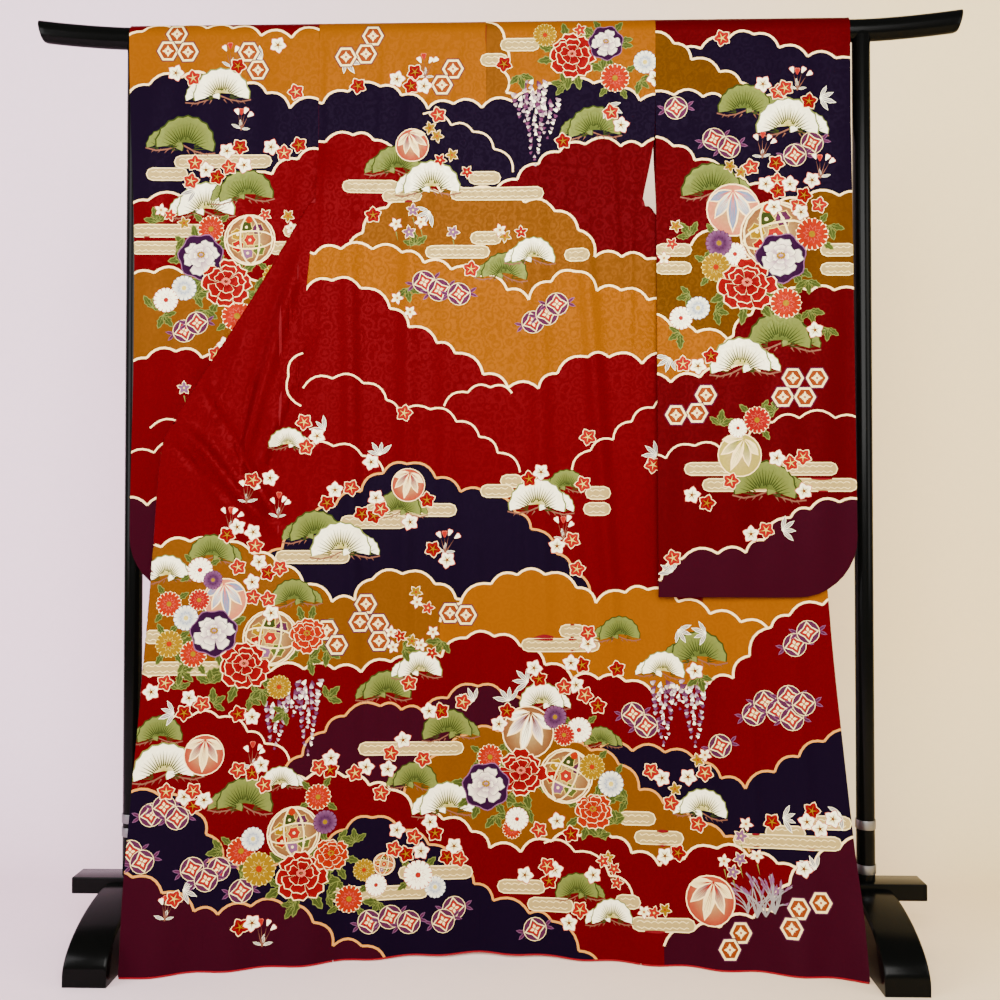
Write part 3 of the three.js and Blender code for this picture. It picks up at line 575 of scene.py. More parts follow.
def peony(g, x, z, r, colour):
    """A full bloom seen a little from the side: spread petals below, a cup of upright ones above."""
    deep, pale, edge = {"red": ("crimson", "red", "line"), "purple": ("purple", "maroon", "white"),
                        "white": ("lilac", "white", "grey"), "coral": ("red", "orange", "line")}[colour]
    rings = ((1.0, 0.66, 8, 0.0, 0.0), (0.74, 0.6, 6, 0.35, 0.02), (0.46, 0.44, 5, 0.1, 0.08))
    if colour == "white":
        paint(g, lobed(x, z, r * 1.02, 7, 0.12, 0.3, 5), "lilac")
        paint(g, lobed(x, z, r * 0.97, 7, 0.12, 0.3, 5), "purple")
        rings = ((0.84, 0.6, 6, 0.2, 0.0), (0.6, 0.5, 5, 0.6, 0.04), (0.34, 0.3, 4, 0.1, 0.06))
    for size, width, count, shift, lift in rings:
        for i in range(count):
            a = shift + 2 * math.pi * (i + random.uniform(-0.16, 0.16)) / count
            reach = size * r * random.uniform(0.9, 1.06)
            cz = z + lift * r
            for inset, names in ((1.0, (edge, edge)), (0.955, (deep, pale))):
                shape = petal(0, 0, reach * inset, width * r * (inset - (0.02 if inset < 1 else 0)), a)
                ragged = [(px * (1 + 0.05 * math.sin(k * 2.4 + i)), pz) for k, (px, pz) in enumerate(shape)]
                paint(g, [(x + px, cz + pz * 0.92) for px, pz in ragged], *names, (x, cz), reach)
    for i in range(9):
        a = 0.7 * i
        stamen = spot(x + r * 0.13 * math.cos(a), z + r * 0.1 + r * 0.1 * math.sin(a), r * 0.055, 5)
        paint(g, stamen, "yellow" if colour != "red" else "rose")


def leaf(g, x, z, r, colour, turn):
    edge, deep = ("sage", "moss") if colour == "leaf" else ("white", "grey")
    lobes = ((0, 0), (0.22, 0.2), (0.34, 0.17), (0.52, 0.27), (0.62, 0.17), (0.82, 0.15), (1, 0))
    shape = list(lobes) + [(a, -b) for a, b in lobes[-2:0:-1]]
    if colour == "grey":
        shape = lens(0, 0, 1, 0.3, 0, 2)
    paint(g, placed(shape, x, z, r, turn), edge)
    paint(g, placed([(0.05 + a * 0.88, b * 0.78) for a, b in shape], x, z, r, turn), deep, colour, (x, z), r)
    tip = placed([(0.8, 0), (0.46, 0.16), (0.46, -0.16)], x, z, r, turn)
    base = placed([(0.2, 0)], x, z, r, turn)[0]
    paint(g, stroke(x, z, *tip[0], r * 0.05), edge)
    if colour == "leaf":
        paint(g, stroke(*base, *tip[1], r * 0.03), edge)
        paint(g, stroke(*base, *tip[2], r * 0.03), edge)


def leaves(g, x, z, r, colour):
    turn = random.uniform(0, 6.28)
    count, apart = (4, 0.7) if colour == "grey" else (3, 1.05)
    for i in range(count):
        leaf(g, x, z, r * random.uniform(0.85, 1.15), colour, turn + apart * i)


def pine(g, x, z, hw, colour):
    """Two crowns of needles over low twigs. Both together are 2 hw wide, and z is their middle."""
    base, rim, needle = {"green": ("leaf", "sage", "moss"), "white": ("straw", "white", "moss")}[colour]
    lean = random.uniform(-0.09, 0.09)
    low, side = z - hw * 0.42, random.choice((-1, 1))
    for way in (-1, 1):
        twig = placed([(way * hw * 0.05, 0.14 * hw), (way * hw * 0.4, -0.02 * hw),
                       (way * hw * 0.75, -0.1 * hw), (way * hw * 1.08, -0.04 * hw)], x, low, 1, lean)
        paint(g, band(twig, hw * 0.045), "bark")
        for k in range(4):
            u = 0.2 + 0.2 * k
            start, end = placed([(way * hw * u, 0.02 * hw - 0.1 * u * hw),
                                 (way * hw * (u + 0.1), -0.13 * hw - 0.08 * u * hw)], x, low, 1, lean)
            paint(g, stroke(*start, *end, hw * 0.05), "bark")
    for shift, wide, tall, count in ((side * 0.5, 0.54, 0.6, 11), (-side * 0.13, 0.87, 0.98, 21)):
        cx = x + shift * hw

        def crown(grow):
            points = []
            for i in range(19):
                a = math.pi * (1 - i / 18)
                r = grow * (1.0 + 0.05 * (i % 2))
                points.append((r * wide * hw * math.cos(a), r * tall * hw * max(0.0, math.sin(a)) ** 0.85))
            points += [(0.66 * wide * hw * grow, 0.07 * hw), (0.34 * wide * hw, 0.19 * hw), (0, 0.22 * hw),
                       (-0.34 * wide * hw, 0.19 * hw), (-0.66 * wide * hw * grow, 0.07 * hw)]
            return placed(points, cx, low, 1, lean)

        paint(g, crown(1.05), "moss" if colour == "green" else "sage")
        spread = hw * wide * (0.9 if colour == "green" else 0.66)
        paint(g, crown(1.0), base, rim, (cx, low + 0.22 * tall * hw), spread)
        for i in range(count):
            a = math.pi * (0.02 + 0.96 * i / (count - 1)) + lean
            near, reach = random.uniform(0.3, 0.42), random.uniform(0.78, 0.94)
            start = (cx + near * wide * hw * math.cos(a), low + near * tall * hw * math.sin(a))
            end = (cx + reach * wide * hw * math.cos(a), low + reach * tall * hw * math.sin(a))
            paint(g, stroke(*start, *end, hw * 0.045), needle)


def mist(g, x0, x1, z, h):
    """A flat streak of mist with rounded ends and fine waves in it."""
    def bar(inset):
        r = h / 2 - inset
        return ([round_from(x0 + h / 2, z, r, a) for a in steps(4, math.pi / 2, math.pi * 1.5)]
                + [round_from(x1 - h / 2, z, r, a) for a in steps(4, -math.pi / 2, math.pi / 2)])
    paint(g, bar(0), "cream")
    paint(g, bar(h * 0.08), "mist")
    pitch = h * 0.5
    for row in (-0.22, 0.2):
        wave, x = [], x0 + h * (0.35 + 0.3 * abs(row))
        while x < x1 - h * 0.4:
            wave.append((x, z + h * row + h * 0.07 * math.sin(x / pitch * math.pi * 2 + row * 9)))
            x += pitch / 3
        if len(wave) > 2:
            paint(g, band(wave, h * 0.055), "cream")


def temari(g, x, z, r, style):
    """A thread ball: wound with bands between its poles, or covered with broad petals."""
    turn = random.uniform(-0.5, 0.5)
    cover, mark, other = {"petals": ("brown", "white", "lilac"), "wheel": ("brown", "cream", "cream"),
                          "small": ("orange", "cream", "cream"), "gold": ("coral", "cream", "mauve"),
                          "grey": ("rose", "blue", "white"), "leafy": ("straw", "cream", "leaf")}[style]
    paint(g, spot(x, z, r, 22), "line")
    paint(g, spot(x, z, r * 0.95, 22), "mist", cover, (x, z), r * 1.2)
    if style in ("wheel", "small"):
        for i, name in enumerate(("coral", "mauve", "moss", "yellow", "red", "lilac", "leaf")):
            a = turn + 0.9 * i
            px, pz = round_from(x, z, r * (0.52 if i else 0.0), a)
            paint(g, lobed(px, pz, r * 0.27, 6, 0.25, a, 3), "lemon")
            paint(g, lobed(px, pz, r * 0.24, 6, 0.25, a, 3), name)
            paint(g, spot(px, pz, r * 0.06, 5), "cream")
        wound = [[(wide * r * 0.93 * math.sin(math.pi * t), r * 0.93 * math.cos(math.pi * t))
                  for t in steps(8, 0.02, 0.98)] for wide in (-0.95, -0.4, 0.4, 0.95)]
        wound += [[(r * 0.93 * math.cos(math.pi * t), wide * r * math.sin(math.pi * t))
                   for t in steps(8, 0.02, 0.98)] for wide in (-0.35, 0.35)]
        for arc in wound:
            paint(g, band(placed(arc, x, z, 1, turn), r * 0.055), mark)
        paint(g, spot(x - r * 0.8 * math.sin(turn), z + r * 0.8 * math.cos(turn), r * 0.14, 8), "orange")
    else:
        pole = (x + r * 0.5 * math.sin(turn), z + r * 0.74)
        for i in (0, 4, 1, 3, 2):
            a = -math.pi / 2 - turn + (i - 2) * 0.56
            long = r * (1.6 - 0.3 * abs(i - 2))
            paint(g, lens(*pole, long, r * 0.46, a), "line")
            inner = lens(*round_from(*pole, r * 0.06, a), long * 0.9, r * 0.34, a)
            paint(g, inner, other if i % 2 else mark, mark, pole, long)
            for side in (-0.08, 0.0, 0.08):
                paint(g, stroke(*pole, *round_from(*pole, long * 0.84, a + side), r * 0.035), cover)


def hexes(g, x, z, r, _):
    """A tortoise-shell hexagon with a small flower in it."""
    for size, name in ((1.0, "mauve"), (0.9, "cream"), (0.7, "brown"), (0.65, "clay")):
        paint(g, spot(x, z, size * r, 6), name)
    for i in range(4):
        paint(g, lens(x, z, r * 0.48, r * 0.26, math.pi / 2 * i, 1), "cream")
        paint(g, lens(x, z, r * 0.34, r * 0.14, math.pi / 4 + math.pi / 2 * i, 1), "cream")
    paint(g, spot(x, z, r * 0.12, 4), "red")


def shippo(g, x, z, r, _):
    """A ring with a four-pointed star in it and small leaves at its sides."""
    turn = random.choice((0.12, 0.3))
    for side in (0, math.pi):
        for spread in (-0.5, 0.5):
            foot = round_from(x, z, r * 0.85, turn + side)
            paint(g, lens(*foot, r * 0.85, r * 0.3, turn + side + spread, 2), "lilac")
            paint(g, lens(*foot, r * 0.78, r * 0.2, turn + side + spread, 2), "mauve")
    paint(g, spot(x, z, r, 16), "cream")
    paint(g, spot(x, z, r * 0.95, 16), "mauve")
    curved = [(2 * math.pi * k / 16, (0.93, 0.64, 0.54, 0.64)[k % 4]) for k in range(16)]
    for size, name in ((1.0, "cream"), (0.84, "mauve"), (0.72, "coral")):
        paint(g, [round_from(x, z, r * q * size, a + turn) for a, q in curved], name)
    for i in range(4):
        paint(g, lens(x, z, r * 0.44, r * 0.26, turn + math.pi / 2 * i, 1), "cream")
    paint(g, spot(x, z, r * 0.1, 4), "orange")


def wisteria(g, x, z_top, z_low, size):
    """Hanging rows of small blossoms that narrow downwards."""
    rows = max(6, int((z_top - z_low) / (size * 0.42)))
    for i in range(rows):
        t = i / (rows - 1)
        half_width, r = size * mix(0.95, 0.08, t), size * mix(0.5, 0.28, t)
        count = 4 if t < 0.35 else 3 if t < 0.65 else 2 if t < 0.9 else 1
        for k in range(count):
            u = (2 * k / (count - 1) - 1) if count > 1 else 0.0
            px = x + half_width * u + random.uniform(-0.12, 0.12) * size
            pz = mix(z_top, z_low, t) + random.uniform(-0.14, 0.14) * size
            a = -math.pi / 2 + 0.9 * u + random.uniform(-0.35, 0.35)
            name = ("lilac", "white", "mauve", "lilac")[(i * 2 + k) % 4]
            tip = "white" if name != "mauve" else "lilac"
            paint(g, petal(px, pz, r * 1.5, r * 1.3, a), "purple")
            paint(g, petal(px, pz, r * 1.36, r * 1.1, a), name, tip, (px, pz), r * 2.2)


def sprig(g, x, z, r, colour):
    """Buds and pale pointed leaves on a thin twig."""
    for i in range(3):
        length = r * random.uniform(0.6, 0.8)
        leaf(g, x, z - r * 0.5, length, "grey", 0.2 + 1.3 * i + random.uniform(-0.2, 0.2))
    for i in range(4):
        a = 2.0 - 0.44 * i + random.uniform(-0.1, 0.1)
        reach = r * random.uniform(0.5, 0.9)
        x1, z1 = round_from(x, z, reach, a)
        paint(g, stroke(x, z - r * 0.6, x1, z1, r * 0.09), "bark")
        paint(g, petal(x1, z1, r * 0.5, r * 0.42, a), "rose")
        paint(g, petal(x1, z1, r * 0.46, r * 0.34, a), colour if i == 1 else "white")


def bells(g, x, z, r, colour):
    """A small open flower on a stem."""
    star(g, x, z, r, colour)
    paint(g, stroke(x, z - r, x + r * 0.3, z - r * 2.4, r * 0.16), "sage")


def grass(g, x, z, r, colour):
    """Thin blades that leave one root and bend over at their tips."""
    for i in range(9):
        a = random.uniform(0.9, 2.2)
        bend = random.uniform(-0.7, 0.7)
        reach = r * random.uniform(0.6, 1.1)
        blade = [round_from(x, z, reach * t, a + bend * t) for t in steps(4, 0, 1)]
        paint(g, band(blade, r * 0.03), colour)
        paint(g, lens(*blade[-2], r * 0.3, r * 0.06, a + bend * 1.5, 1), "lilac")


# Default half sizes of the motifs, in picture points.
SIZES = {"plum": 9.3, "star": 7.4, "bell": 7.6, "hexes": 12.2, "shippo": 11.6, "mum": 13, "leaf": 15,
         "sprig": 14, "peony": 25, "temari": 24, "pine": 28, "grass": 50}
MIST_HEIGHT, WISTERIA_SIZE = 13.5, 8.5
DRAW = {"plum": plum, "star": star, "bell": bells, "hexes": hexes, "shippo": shippo, "mum": mum,
        "leaf": leaves, "sprig": sprig, "peony": peony, "temari": temari, "pine": pine, "grass": grass}
ORDER = ("mist", "wisteria", "grass", "pine", "leaf", "sprig", "temari", "hexes", "shippo", "bell",
         "star", "mum", "peony", "plum")

# Where the motifs lie, as picture points: across and down, then the half size where it isn't the
# default one. A mist is from, to and down; a wisteria is across, top and bottom.
MOTIFS = {
    "sleeve_left": {
        "mist": ((174, 272, 162), (146, 188, 174), (130, 205, 231), (283, 302, 231), (130, 206, 248),
            (268, 306, 248)),
        "pine white": ((218, 87, 31), (202, 202, 32)),
        "pine green": ((181, 136, 33), (243, 188, 30)),
        "leaf leaf": ((158, 222), (176, 250), (190, 243), (195, 295), (255, 290), (262, 297), (205, 310),
            (152, 308), (163, 315)),
        "leaf grey": ((232, 330), (196, 190), (262, 60)),
        "sprig coral": ((231, 60), (241, 122)),
        "temari wheel": ((250, 240, 26),),
        "hexes -": ((177, 34), (168, 51), (188, 52), (249, 52), (258, 70)),
        "shippo -": ((184, 331), (197, 323)),
        "bell lilac": ((184, 388),),
        "star white": ((161, 210), (291, 228)),
        "star coral": ((170, 215), (265, 215), (299, 243), (290, 258)),
        "star yellow": ((184, 223), (288, 216)),
        "mum coral": ((211, 229, 14), (237, 316, 16)),
        "mum blue": ((184, 288),),
        "mum white": ((166, 300),),
        "mum yellow": ((276, 277, 14),),
        "peony white": ((201, 257, 24),),
        "peony red": ((226, 284, 27),),
        "plum white": ((278, 45), (176, 73), (227, 151), (271, 147), (206, 170), (244, 165), (225, 345)),
        "plum coral": ((193, 78), (296, 92), (284, 153), (195, 163), (191, 181), (229, 167), (216, 354)),
        "plum red": ((238, 66), (240, 147), (299, 145), (217, 177)),
    },
    "sleeve_right": {
        "mist": ((684, 838, 469), (702, 858, 485), (820, 856, 250), (820, 856, 269), (655, 692, 250),
            (655, 692, 268)),
        "pine green": ((748, 102, 29), (716, 183, 33), (784, 333, 34), (769, 482, 34)),
        "pine white": ((792, 119, 34), (745, 358, 33)),
        "leaf leaf": ((690, 236), (690, 295), (715, 310), (808, 280), (810, 310), (680, 333), (830, 225),
            (828, 328), (720, 425), (775, 412)),
        "leaf grey": ((820, 98), (782, 530), (672, 572), (670, 358)),
        "sprig coral": ((797, 82), (820, 170), (762, 150)),
        "temari grey": ((733, 210, 27),),
        "temari wheel": ((775, 235, 35),),
        "temari leafy": ((740, 455, 22),),
        "hexes -": ((793, 378), (817, 378), (783, 397), (805, 397), (706, 395), (697, 413), (676, 415)),
        "shippo -": ((676, 108), (714, 139), (729, 147), (812, 143), (795, 155)),
        "star yellow": ((730, 166), (741, 172), (676, 226)),
        "star coral": ((672, 244),),
        "star white": ((664, 258),),
        "mum coral": ((812, 234, 17), (786, 303, 16)),
        "mum white": ((735, 254, 12), (738, 428, 10), (681, 318, 12)),
        "mum purple": ((719, 243, 14),),
        "mum yellow": ((716, 267, 15),),
        "mum blue": ((698, 308, 12),),
        "mum red": ((757, 420, 14),),
        "peony white": ((781, 258, 26),),
        "peony red": ((747, 285, 30),),
        "plum coral": ((722, 38), (778, 92), (785, 88), (751, 167), (777, 181), (798, 205), (819, 205),
            (791, 463), (803, 457), (731, 481), (766, 530), (673, 558), (683, 364)),
        "plum red": ((809, 101), (776, 163), (778, 191), (804, 195), (711, 356), (707, 503)),
        "plum white": ((763, 84), (812, 180), (766, 184), (790, 184), (801, 212), (774, 207), (815, 330),
            (698, 366), (777, 458), (692, 495), (804, 491), (751, 534)),
    },
    "body": {
        "mist": ((342, 399, 186), (382, 422, 196), (468, 501, 178), (450, 544, 194), (470, 502, 238),
            (425, 490, 252), (564, 590, 255), (500, 540, 45), (480, 508, 60), (275, 350, 557),
            (365, 457, 510), (340, 407, 522), (500, 523, 481), (480, 514, 491), (585, 611, 493),
            (583, 611, 509), (140, 222, 669), (142, 174, 637), (398, 473, 873), (328, 428, 896),
            (358, 464, 749), (521, 600, 645), (559, 586, 631), (618, 656, 818), (634, 684, 837),
            (765, 806, 832), (800, 852, 822), (733, 842, 840), (497, 546, 886), (527, 574, 904),
            (615, 641, 901), (631, 696, 923)),
        "wisteria": ((535, 80, 162), (548, 98, 135), (524, 95, 120), (276, 701, 746), (309, 680, 752),
            (292, 690, 715), (663, 681, 744), (694, 681, 744), (679, 684, 706)),
        "grass grey": ((748, 914, 26), (757, 918, 36), (766, 917, 42), (775, 914, 34)),
        "pine green": ((393, 162, 27), (501, 268, 25), (591, 124, 29), (215, 550, 25), (402, 505, 24),
            (312, 528, 28), (564, 482, 20), (384, 687, 26), (297, 594, 24), (157, 731, 24), (241, 797, 30),
            (412, 777, 24), (451, 726, 27), (617, 630, 22), (695, 650, 30), (603, 738, 18), (580, 888, 23)),
        "pine white": ((428, 180, 31), (530, 252, 24), (290, 440, 20), (170, 570, 24), (345, 542, 32),
            (541, 498, 31), (417, 666, 24), (169, 764, 33), (283, 779, 20), (444, 801, 30), (660, 666, 23),
            (545, 698, 24), (700, 805, 25), (609, 913, 22)),
        "leaf leaf": ((565, 85), (640, 80), (520, 75), (415, 245), (407, 288), (442, 641), (403, 648),
            (178, 689), (213, 704), (181, 671), (210, 683), (249, 698), (309, 659), (327, 650), (355, 842),
            (294, 905), (327, 896), (222, 851), (240, 875), (379, 902), (496, 815), (528, 808), (598, 837),
            (614, 824), (627, 799), (327, 698), (262, 690), (700, 676), (285, 712)),
        "leaf grey": ((608, 105), (325, 430), (380, 455), (657, 455), (174, 713), (474, 701), (183, 890),
            (678, 630), (706, 633), (528, 682), (509, 701), (783, 818), (840, 813), (816, 869), (430, 212),
            (345, 60)),
        "sprig coral": ((425, 70), (247, 495), (230, 522), (445, 545), (563, 532), (252, 760), (262, 938),
            (165, 912), (278, 510)),
        "temari gold": ((711, 901, 24), (412, 145, 17), (204, 755, 20), (408, 485, 17)),
        "temari grey": ((225, 600, 22),),
        "temari petals": ((528, 732, 26),),
        "temari wheel": ((270, 638, 28), (294, 833, 26), (566, 776, 27)),
        "temari small": ((384, 864, 11),),
        "hexes -": ((373, 36), (366, 54), (346, 57), (453, 69), (442, 85), (366, 604), (360, 622),
            (378, 624), (379, 641), (450, 613), (466, 615), (327, 630), (337, 645), (799, 909), (821, 903),
            (792, 929), (741, 933), (730, 950)),
        "shippo -": ((424, 282), (439, 290), (459, 294), (533, 322), (547, 314), (557, 304), (151, 815),
            (164, 807), (177, 818), (130, 852), (142, 862), (192, 869), (219, 869), (206, 880), (241, 891),
            (369, 922), (390, 917), (409, 922), (454, 908), (443, 921), (633, 714), (646, 726), (720, 746),
            (754, 714), (765, 702), (778, 711), (792, 719), (789, 697), (804, 704), (795, 645), (808, 632),
            (535, 929)),
        "bell white": ((396, 224), (421, 222), (746, 824), (724, 861), (757, 856)),
        "bell lilac": ((413, 210), (409, 232), (453, 232), (741, 836), (740, 859), (733, 872)),
        "star yellow": ((430, 128), (437, 136), (452, 155), (505, 236), (416, 592), (412, 641), (698, 760),
            (675, 789), (608, 858), (665, 910)),
        "star red": ((440, 160), (467, 172), (521, 232), (400, 636), (432, 653)),
        "star white": ((500, 230), (397, 298), (417, 602), (391, 632), (393, 647), (433, 632), (421, 645),
            (705, 755), (644, 912), (410, 312)),
        "star coral": ((580, 30), (428, 608), (614, 869), (617, 883), (603, 861), (654, 913)),
        "mum coral": ((615, 78, 15), (193, 654, 14), (169, 604, 13), (318, 797, 13), (241, 851, 14),
            (349, 899, 14), (490, 757, 13), (512, 829, 10)),
        "mum yellow": ((545, 35, 12), (169, 644, 14), (279, 687, 12), (592, 767, 13), (364, 870, 11),
            (259, 869, 17)),
        "mum blue": ((645, 62, 12), (186, 618, 13), (253, 839, 12), (435, 887, 11), (611, 784, 13)),
        "mum white": ((200, 570, 13), (376, 885, 11), (418, 875, 15), (579, 730, 13), (517, 819, 12)),
        "mum purple": ((213, 580, 10), (325, 822, 12), (555, 717, 12)),
        "mum red": ((199, 600, 11), (564, 735, 11)),
        "peony red": ((572, 56, 25), (244, 666, 27), (301, 876, 27), (521, 773, 26)),
        "peony white": ((606, 43, 18), (214, 633, 24), (486, 786, 24)),
        "peony coral": ((307, 635, 20), (331, 855, 18), (593, 811, 20)),
        "plum red": ((358, 86), (415, 72), (411, 86), (373, 215), (504, 64), (563, 141), (327, 503),
            (362, 514), (374, 516), (427, 500), (433, 549), (227, 535), (529, 479), (268, 573), (184, 713),
            (238, 714), (252, 773), (193, 806), (406, 854), (435, 833), (447, 857), (330, 770), (441, 711),
            (240, 927), (582, 665), (617, 669), (539, 679), (598, 706), (507, 711), (571, 834), (772, 822),
            (812, 811), (549, 881), (678, 853)),
        "plum white": ((397, 79), (424, 86), (621, 125), (655, 78), (317, 436), (371, 462), (270, 478),
            (237, 527), (253, 532), (335, 490), (376, 498), (410, 522), (447, 560), (541, 472), (557, 546),
            (259, 562), (252, 582), (271, 613), (151, 692), (189, 698), (252, 717), (261, 765), (184, 797),
            (204, 800), (397, 830), (421, 851), (430, 822), (454, 846), (331, 758), (366, 767), (388, 769),
            (403, 740), (429, 711), (252, 923), (588, 644), (571, 663), (695, 671), (534, 668), (576, 685),
            (499, 724), (557, 821), (662, 778), (688, 777), (807, 822), (820, 829), (833, 819), (804, 869),
            (525, 875), (593, 875), (569, 923), (555, 870), (665, 856)),
        "plum coral": ((438, 115), (471, 269), (611, 112), (304, 422), (306, 447), (404, 413), (253, 480),
            (255, 546), (351, 488), (381, 509), (583, 484), (588, 437), (653, 465), (572, 540), (577, 569),
            (409, 683), (280, 568), (238, 567), (253, 597), (268, 599), (165, 683), (202, 704), (238, 770),
            (264, 785), (166, 792), (193, 791), (394, 849), (414, 837), (459, 859), (381, 793), (319, 767),
            (355, 773), (391, 753), (423, 759), (463, 702), (174, 899), (588, 633), (564, 687), (585, 695),
            (539, 830), (651, 771), (705, 773), (671, 803), (698, 824), (547, 866), (580, 910)),
    },
}

for group, kinds in MOTIFS.items():
    sheet = SHEETS[group]
    placed_rows = []
    for kind in ORDER:
        for key, rows in kinds.items():
            if key.split()[0] == kind:
                placed_rows += [(kind, key.split()[1] if " " in key else "", row) for row in rows]
    leaves_drawn = False
    for kind, colour, row in placed_rows:
        x, z = on_cloth(row[0], row[1], sheet)
        point_size = mm_per_px(sheet(x, z))
        if kind == "mist":
            x, z = on_cloth(row[0], row[2], sheet)
            mist(group, x, on_cloth(row[1], row[2], sheet)[0], z, MIST_HEIGHT * point_size)
            continue
        if kind == "wisteria":
            wisteria(group, x, z, on_cloth(row[0], row[2], sheet)[1], WISTERIA_SIZE * point_size)
            continue
        if kind == "leaf" and not leaves_drawn:
            leaves_drawn = True
            for bloom, _, place in placed_rows:  # leaves that show round each large bloom
                if bloom == "peony" or bloom == "mum" and len(place) > 2 and place[2] > 12:
                    bx, bz = on_cloth(place[0], place[1], sheet)
                    count, r = 8 if bloom == "peony" else 4, place[2]
                    for i in range(count):
                        a = random.uniform(-0.3, 0.3) + 2 * math.pi * (i + 0.5) / count
                        foot = round_from(bx, bz, r * point_size * 0.7, a)
                        leaf(group, *foot, (0.4 * r + 8) * point_size, "leaf", a)
        DRAW[kind](group, x, z, (row[2] if len(row) > 2 else SIZES[kind]) * point_size, colour)

# ---- Flat panels, cut along their painted shapes and laid on their surface ---------------------
GRID = 8.5  # between the spread points of a panel
ROLL = math.pi * TURN / 2  # cloth that goes round a turned edge
FAR_TOP = 2 * TOP + FOLD_LENGTH
PROBE = 0.8  # step used to find the way that a surface faces
WELD, INNER_WELD = 1e-3, 1e-4


def heights(start, end, pitch=12.0):
    return steps(max(1, round(abs(end - start) / pitch)), start, end)


def turned_left(points):
    """The outline in the order that keeps its inside on the left."""
    area = sum(a[0] * b[1] - b[0] * a[1] for a, b in zip(points, points[1:] + points[:1]))
    return list(points) if area > 0 else list(points)[::-1]


def inside(points, x, z):
    hit = False
    for (x0, z0), (x1, z1) in zip(points, points[1:] + points[:1]):
        if (z0 > z) != (z1 > z) and x < (x1 - x0) * (z - z0) / (z1 - z0) + x0:
            hit = not hit
    return hit


def spread_points(outline):
    """Points inside an outline, in staggered rows."""
    left, right, low, high = box_of(outline)
    places = ((left + (i + 0.5 + 0.23 * math.sin(k * 2.1)) * GRID, low + (k + 0.5) * GRID)
              for i in range(int((right - left) / GRID) + 1) for k in range(int((high - low) / GRID) + 1))
    return [Vector(p) for p in places if inside(outline, *p)]


def flat_panel(outline, shapes, loose):
    """Triangles of a flat panel, each with the topmost shape painted on it."""
    left, right, low, high = box_of(outline)
    here = [s for s in shapes
            if s.box[1] > left and s.box[0] < right and s.box[3] > low and s.box[2] < high]
    verts, faces = [], []
    for points in [outline] + [turned_left(s.points) for s in here]:
        faces.append(list(range(len(verts), len(verts) + len(points))))
        verts += [Vector(p) for p in points]
    flat, _, triangles, _, _, sources = delaunay_2d_cdt(verts + loose, [], faces, 1, WELD, True)
    kept = [(tri, max(src)) for tri, src in zip(triangles, sources) if 0 in src]
    return flat, kept, here


def laid(flat, used, point, outward):
    """Places and outward directions of flat points on their surface."""
    places, facing = [], []
    for i in used:
        x, v = flat[i]
        step_x = point(x + PROBE, v) - point(x - PROBE, v)
        step_v = point(x, v + PROBE) - point(x, v - PROBE)
        facing.append(step_x.cross(step_v).normalized() * outward)
        places.append(point(x, v))
    return places, facing


def edge_loops(rim):
    """The loops that the open sides of a sheet make, each from its first point to its last."""
    after, loops = {a: b for a, b in rim}, []
    while after:
        i = next(iter(after))
        loops.append([])
        while i in after:
            loops[-1].append(i)
            i = after.pop(i)
    return loops


def flat_inside(flat, loops, loose, outward):
    """Points and triangles of the plain inside: the same edge and spread points, no shapes."""
    cuts, start = [], 0
    for loop in loops:
        ids = list(range(start, start + len(loop)))
        cuts.append(ids if outward > 0 else ids[::-1])
        start += len(loop)
    edge = [flat[i] for loop in loops for i in loop]
    under, _, triangles, _, _, sources = delaunay_2d_cdt(edge + loose, [], cuts, 1, INNER_WELD, True)
    return under, [tri for tri, source in zip(triangles, sources) if source]


def linked(name, data):
    """A new object in the scene."""
    made = bpy.data.objects.new(name, data)
    bpy.context.scene.collection.objects.link(made)
    return made


def smooth_mesh(name, verts, faces, *materials):
    mesh = bpy.data.meshes.new(name)
    mesh.from_pydata(verts, [], faces)
    mesh.polygons.foreach_set("use_smooth", [True] * len(faces))
    for material in materials:
        mesh.materials.append(material)
    return mesh


